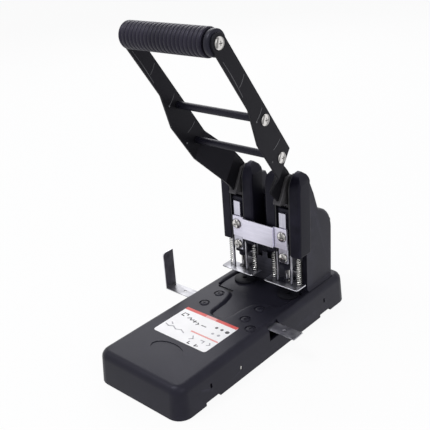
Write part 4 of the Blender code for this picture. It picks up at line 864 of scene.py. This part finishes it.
def pressed_stroke(work, start, end, x, facing):
    """A low rounded ridge from one point to another on an arm's face."""
    along = Vector((0, end[0] - start[0], end[1] - start[1]))
    across = Vector((0, -along.z, along.y)).normalized()
    rings = []
    for step in range(RIDGE_STEPS + 1):
        t = step / RIDGE_STEPS
        taper = math.sin(math.pi * min(max(t, RIDGE_ENDS[0]), RIDGE_ENDS[1])) ** RIDGE_TAPER
        centre = Vector((x, start[0], start[1])) + along * t + across * PRESSED_BOW * math.sin(math.pi * t)
        ring = []
        for share, rise in RIDGE_SECTION:
            offset = across * share * PRESSED_WIDTH / 2 * taper
            ring.append(centre + offset + Vector((facing * PRESSED_PROUD * rise * taper, 0, 0)))
        rings.append(ring)
    loft(work, rings)


def pressed_marks():
    """The lines and studs that the press leaves on both faces of the arms."""
    for side, sign in SIDES:
        low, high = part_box("arm_" + side)
        outer = high[0] if sign > 0 else low[0]
        for kind, x, facing in (("outer", outer, sign), ("inner", outer - sign * ARM_SHEET, -sign)):
            work = bmesh.new()
            for start, end in PRESSED_LINES:
                pressed_stroke(work, start, end, x, facing)
            profile = [(STUD_RADIUS * a, x + facing * PRESSED_PROUD * b) for a, b in STUD_SECTION]
            for y, z in PRESSED_STUDS:
                turned_ring(work, profile, (0, y, z), "X", STUD_STEPS)
            piece = link_mesh(work, "pressed_marks_" + kind + "_" + side)
            dress(piece, "handle", "pressed_line")


def base_details():
    """A near-black plate of painted shade on the slot's floor, and the bright fastener ends in the sides."""
    dress(slot_solid("slot_shade_plate", *SLOT_SHADE_HEIGHTS), "base", "slot_painted_shade")
    low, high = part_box("base_cover")
    wide, tall = FASTENER_SIZE
    outline = oval(*FASTENER_PLACE, wide / 2, tall / 2, FASTENER_STEPS)
    for name, x, inwards in (("left", low[0], 1), ("right", high[0], -1)):
        work = bmesh.new()
        loft(work, [[(x + inwards * depth, y, z) for y, z in outline] for depth in FASTENER_DEPTHS])
        dress(link_mesh(work, "fastener_end_" + name), "base", "nickel")


def card_point(u, v):
    """The place on the card at a share of its width and of its length from the rear edge."""
    low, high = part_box("label_plate")
    return Vector((low[0] + (high[0] - low[0]) * u, high[1] - (high[1] - low[1]) * v, high[2]))


def thin_plate(work, outline):
    """A printed shape: an outline of (x, y) points with the ink's own thickness."""
    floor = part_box("label_plate")[1][2] - PRINT_PROUD
    upright_prism(work, outline, floor, floor + 2 * PRINT_PROUD)


def band_outline(left, right, near, far):
    """A straight band across the card."""
    a, b = card_point(left, near), card_point(right, far)
    return [(a.x, a.y), (b.x, a.y), (b.x, b.y), (a.x, b.y)]


def stroke_plates(work, places):
    """Straight strokes through places on the card, with square joints."""
    for start, end in zip(places, places[1:]):
        a, b = card_point(*start), card_point(*end)
        along = (b - a).normalized() * STROKE_WIDTH / 2
        across = Vector((-along.y, along.x, 0))
        corners = (a - along - across, b + along - across, b + along + across, a - along + across)
        thin_plate(work, [(p.x, p.y) for p in corners])


def disc_outline(u, v, radius):
    centre = card_point(u, v)
    return oval(centre.x, centre.y, radius, radius, DISC_STEPS)


def print_card():
    """Plain bands and picture-like marks printed on the card, with no words."""
    shapes = {"red_ink": [band_outline(RED_BAND[0], PALE_BAND[0], 0.0, BAND_DEPTH),
                          band_outline(PALE_BAND[1], RED_BAND[1], 0.0, BAND_DEPTH)],
              "pale_ink": [band_outline(*PALE_BAND, 0.0, BAND_DEPTH), band_outline(*PALE_BAR)],
              "black_ink": [disc_outline(*disc) for disc in BLACK_DISCS],
              "grey_ink": [disc_outline(*disc) for disc in GREY_DISCS]}
    strokes = {"black_ink": BLACK_STROKES, "grey_ink": GREY_STROKES}
    for ink, outlines in shapes.items():
        work = bmesh.new()
        for outline in outlines:
            thin_plate(work, outline)
        for places in strokes.get(ink, ()):
            stroke_plates(work, places)
        dress(link_mesh(work, "print_" + ink), "base", ink)


def make_camera():
    """The photograph's camera, from its place and its three angles."""
    data = bpy.data.cameras.new("camera")
    data.lens = CAMERA_LENS
    data.sensor_width = SENSOR
    camera = bpy.data.objects.new("camera", data)
    bpy.context.scene.collection.objects.link(camera)
    right = Vector((math.cos(CAMERA_YAW), math.sin(CAMERA_YAW), 0))
    ahead = Vector((-math.sin(CAMERA_YAW), math.cos(CAMERA_YAW), 0))
    forward = ahead * math.cos(CAMERA_PITCH) - Vector((0, 0, math.sin(CAMERA_PITCH)))
    up = ahead * math.sin(CAMERA_PITCH) + Vector((0, 0, math.cos(CAMERA_PITCH)))
    rolled_right = right * math.cos(CAMERA_ROLL) + up * math.sin(CAMERA_ROLL)
    rolled_up = up * math.cos(CAMERA_ROLL) - right * math.sin(CAMERA_ROLL)
    turn = Matrix((rolled_right, rolled_up, -forward)).transposed()
    camera.matrix_world = Matrix.Translation(CAMERA_PLACE) @ turn.to_4x4()
    bpy.context.scene.camera = camera


def background_ray(tree):
    """1 for a ray that shows the background: seen, mirrored or passed through."""
    path = add_node(tree, "ShaderNodeLightPath")
    seen = calculate(tree, "MAXIMUM", path.outputs["Is Camera Ray"], path.outputs["Is Glossy Ray"])
    return calculate(tree, "MAXIMUM", seen, path.outputs["Is Transmission Ray"])


def make_floor():
    """A pale floor that shows as white but keeps the object's shadow."""
    work = bmesh.new()
    bmesh.ops.create_grid(work, x_segments=1, y_segments=1, size=FLOOR_SIZE / 2)
    floor = link_mesh(work, "floor")
    made, tree, shader = material("pale_floor", FLOOR_COLOR, FLOOR_ROUGHNESS)
    shader.inputs["Specular IOR Level"].default_value = FLOOR_SHINE
    white = add_node(tree, "ShaderNodeEmission", Strength=1.0)
    mix = add_node(tree, "ShaderNodeMixShader")
    tree.links.new(calculate(tree, "MULTIPLY", background_ray(tree), FLOOR_WHITE), mix.inputs["Fac"])
    tree.links.new(shader.outputs[0], mix.inputs[1])
    tree.links.new(white.outputs[0], mix.inputs[2])
    tree.links.new(mix.outputs[0], tree.nodes["Material Output"].inputs["Surface"])
    floor.data.materials.append(made)


def make_world():
    """A soft even sky that lights the object and shows as white."""
    world = bpy.data.worlds.new("studio")
    world.use_nodes = True
    tree = world.node_tree
    tree.nodes.clear()
    output = add_node(tree, "ShaderNodeOutputWorld")
    lit = add_node(tree, "ShaderNodeBackground", Strength=WORLD_LEVEL, Color=WORLD_COLOR)
    seen = add_node(tree, "ShaderNodeBackground", Strength=1.0, Color=(1, 1, 1, 1))
    mix = add_node(tree, "ShaderNodeMixShader")
    tree.links.new(background_ray(tree), mix.inputs["Fac"])
    tree.links.new(lit.outputs[0], mix.inputs[1])
    tree.links.new(seen.outputs[0], mix.inputs[2])
    tree.links.new(mix.outputs[0], output.inputs["Surface"])
    bpy.context.scene.world = world


def make_lamp(name, place, aim_height, size, power):
    data = bpy.data.lights.new(name, "AREA")
    data.shape = "DISK"
    data.size = size
    data.energy = power
    lamp = bpy.data.objects.new(name, data)
    bpy.context.scene.collection.objects.link(lamp)
    lamp.location = place
    lamp.rotation_euler = (Vector((0, 0, aim_height)) - Vector(place)).to_track_quat("-Z", "Y").to_euler()


def make_screws():
    for kind in ("top", "middle", "bottom"):
        for side, sign in SIDES:
            screw("arm_screw_" + kind + "_" + side, "X", sign)
    for kind in ("band", "plate"):
        for side, _ in SIDES:
            screw(kind + "_screw_" + side, "Y", -1)
    for number in range(1, 6):
        screw("base_screw_" + str(number), "Z", 1)


def make_round_bars():
    """The rods, the shaft, the feet, the pins, the dies and the bushes."""
    round_bar("rod_upper", "X", SCREW_BORE)
    round_bar("rod_lower", "X", SCREW_BORE)
    round_bar("pivot_shaft", "X")
    for end in ("front", "rear"):
        for side, _ in SIDES:
            round_bar("foot_" + end + "_" + side, "Z")
    for side, _ in SIDES:
        round_bar("punch_pin_" + side, "Z")
        round_bar("die_" + side, "Z", DIE_BORE)
        round_bar("hub_bush_" + side, "X", BUSH_BORE)


def make_pieces():
    """Every CAD node gets a finer piece in its place, and the card, arms and base their details."""
    make_screws()
    for side, _ in SIDES:
        for kind in ("inner", "outer"):
            spring("return_spring_" + kind + "_" + side)
    make_round_bars()
    grip()
    collar()
    done = {name for name in NODES if NODES[name].hide_render}
    for node in sorted(set(NODES) - done):
        soften(node)
    pressed_marks()
    base_details()
    print_card()


make_camera()
make_pieces()
make_floor()
make_world()
for lamp_values in LAMPS:
    make_lamp(*lamp_values)
bpy.context.scene.view_settings.view_transform = "Standard"
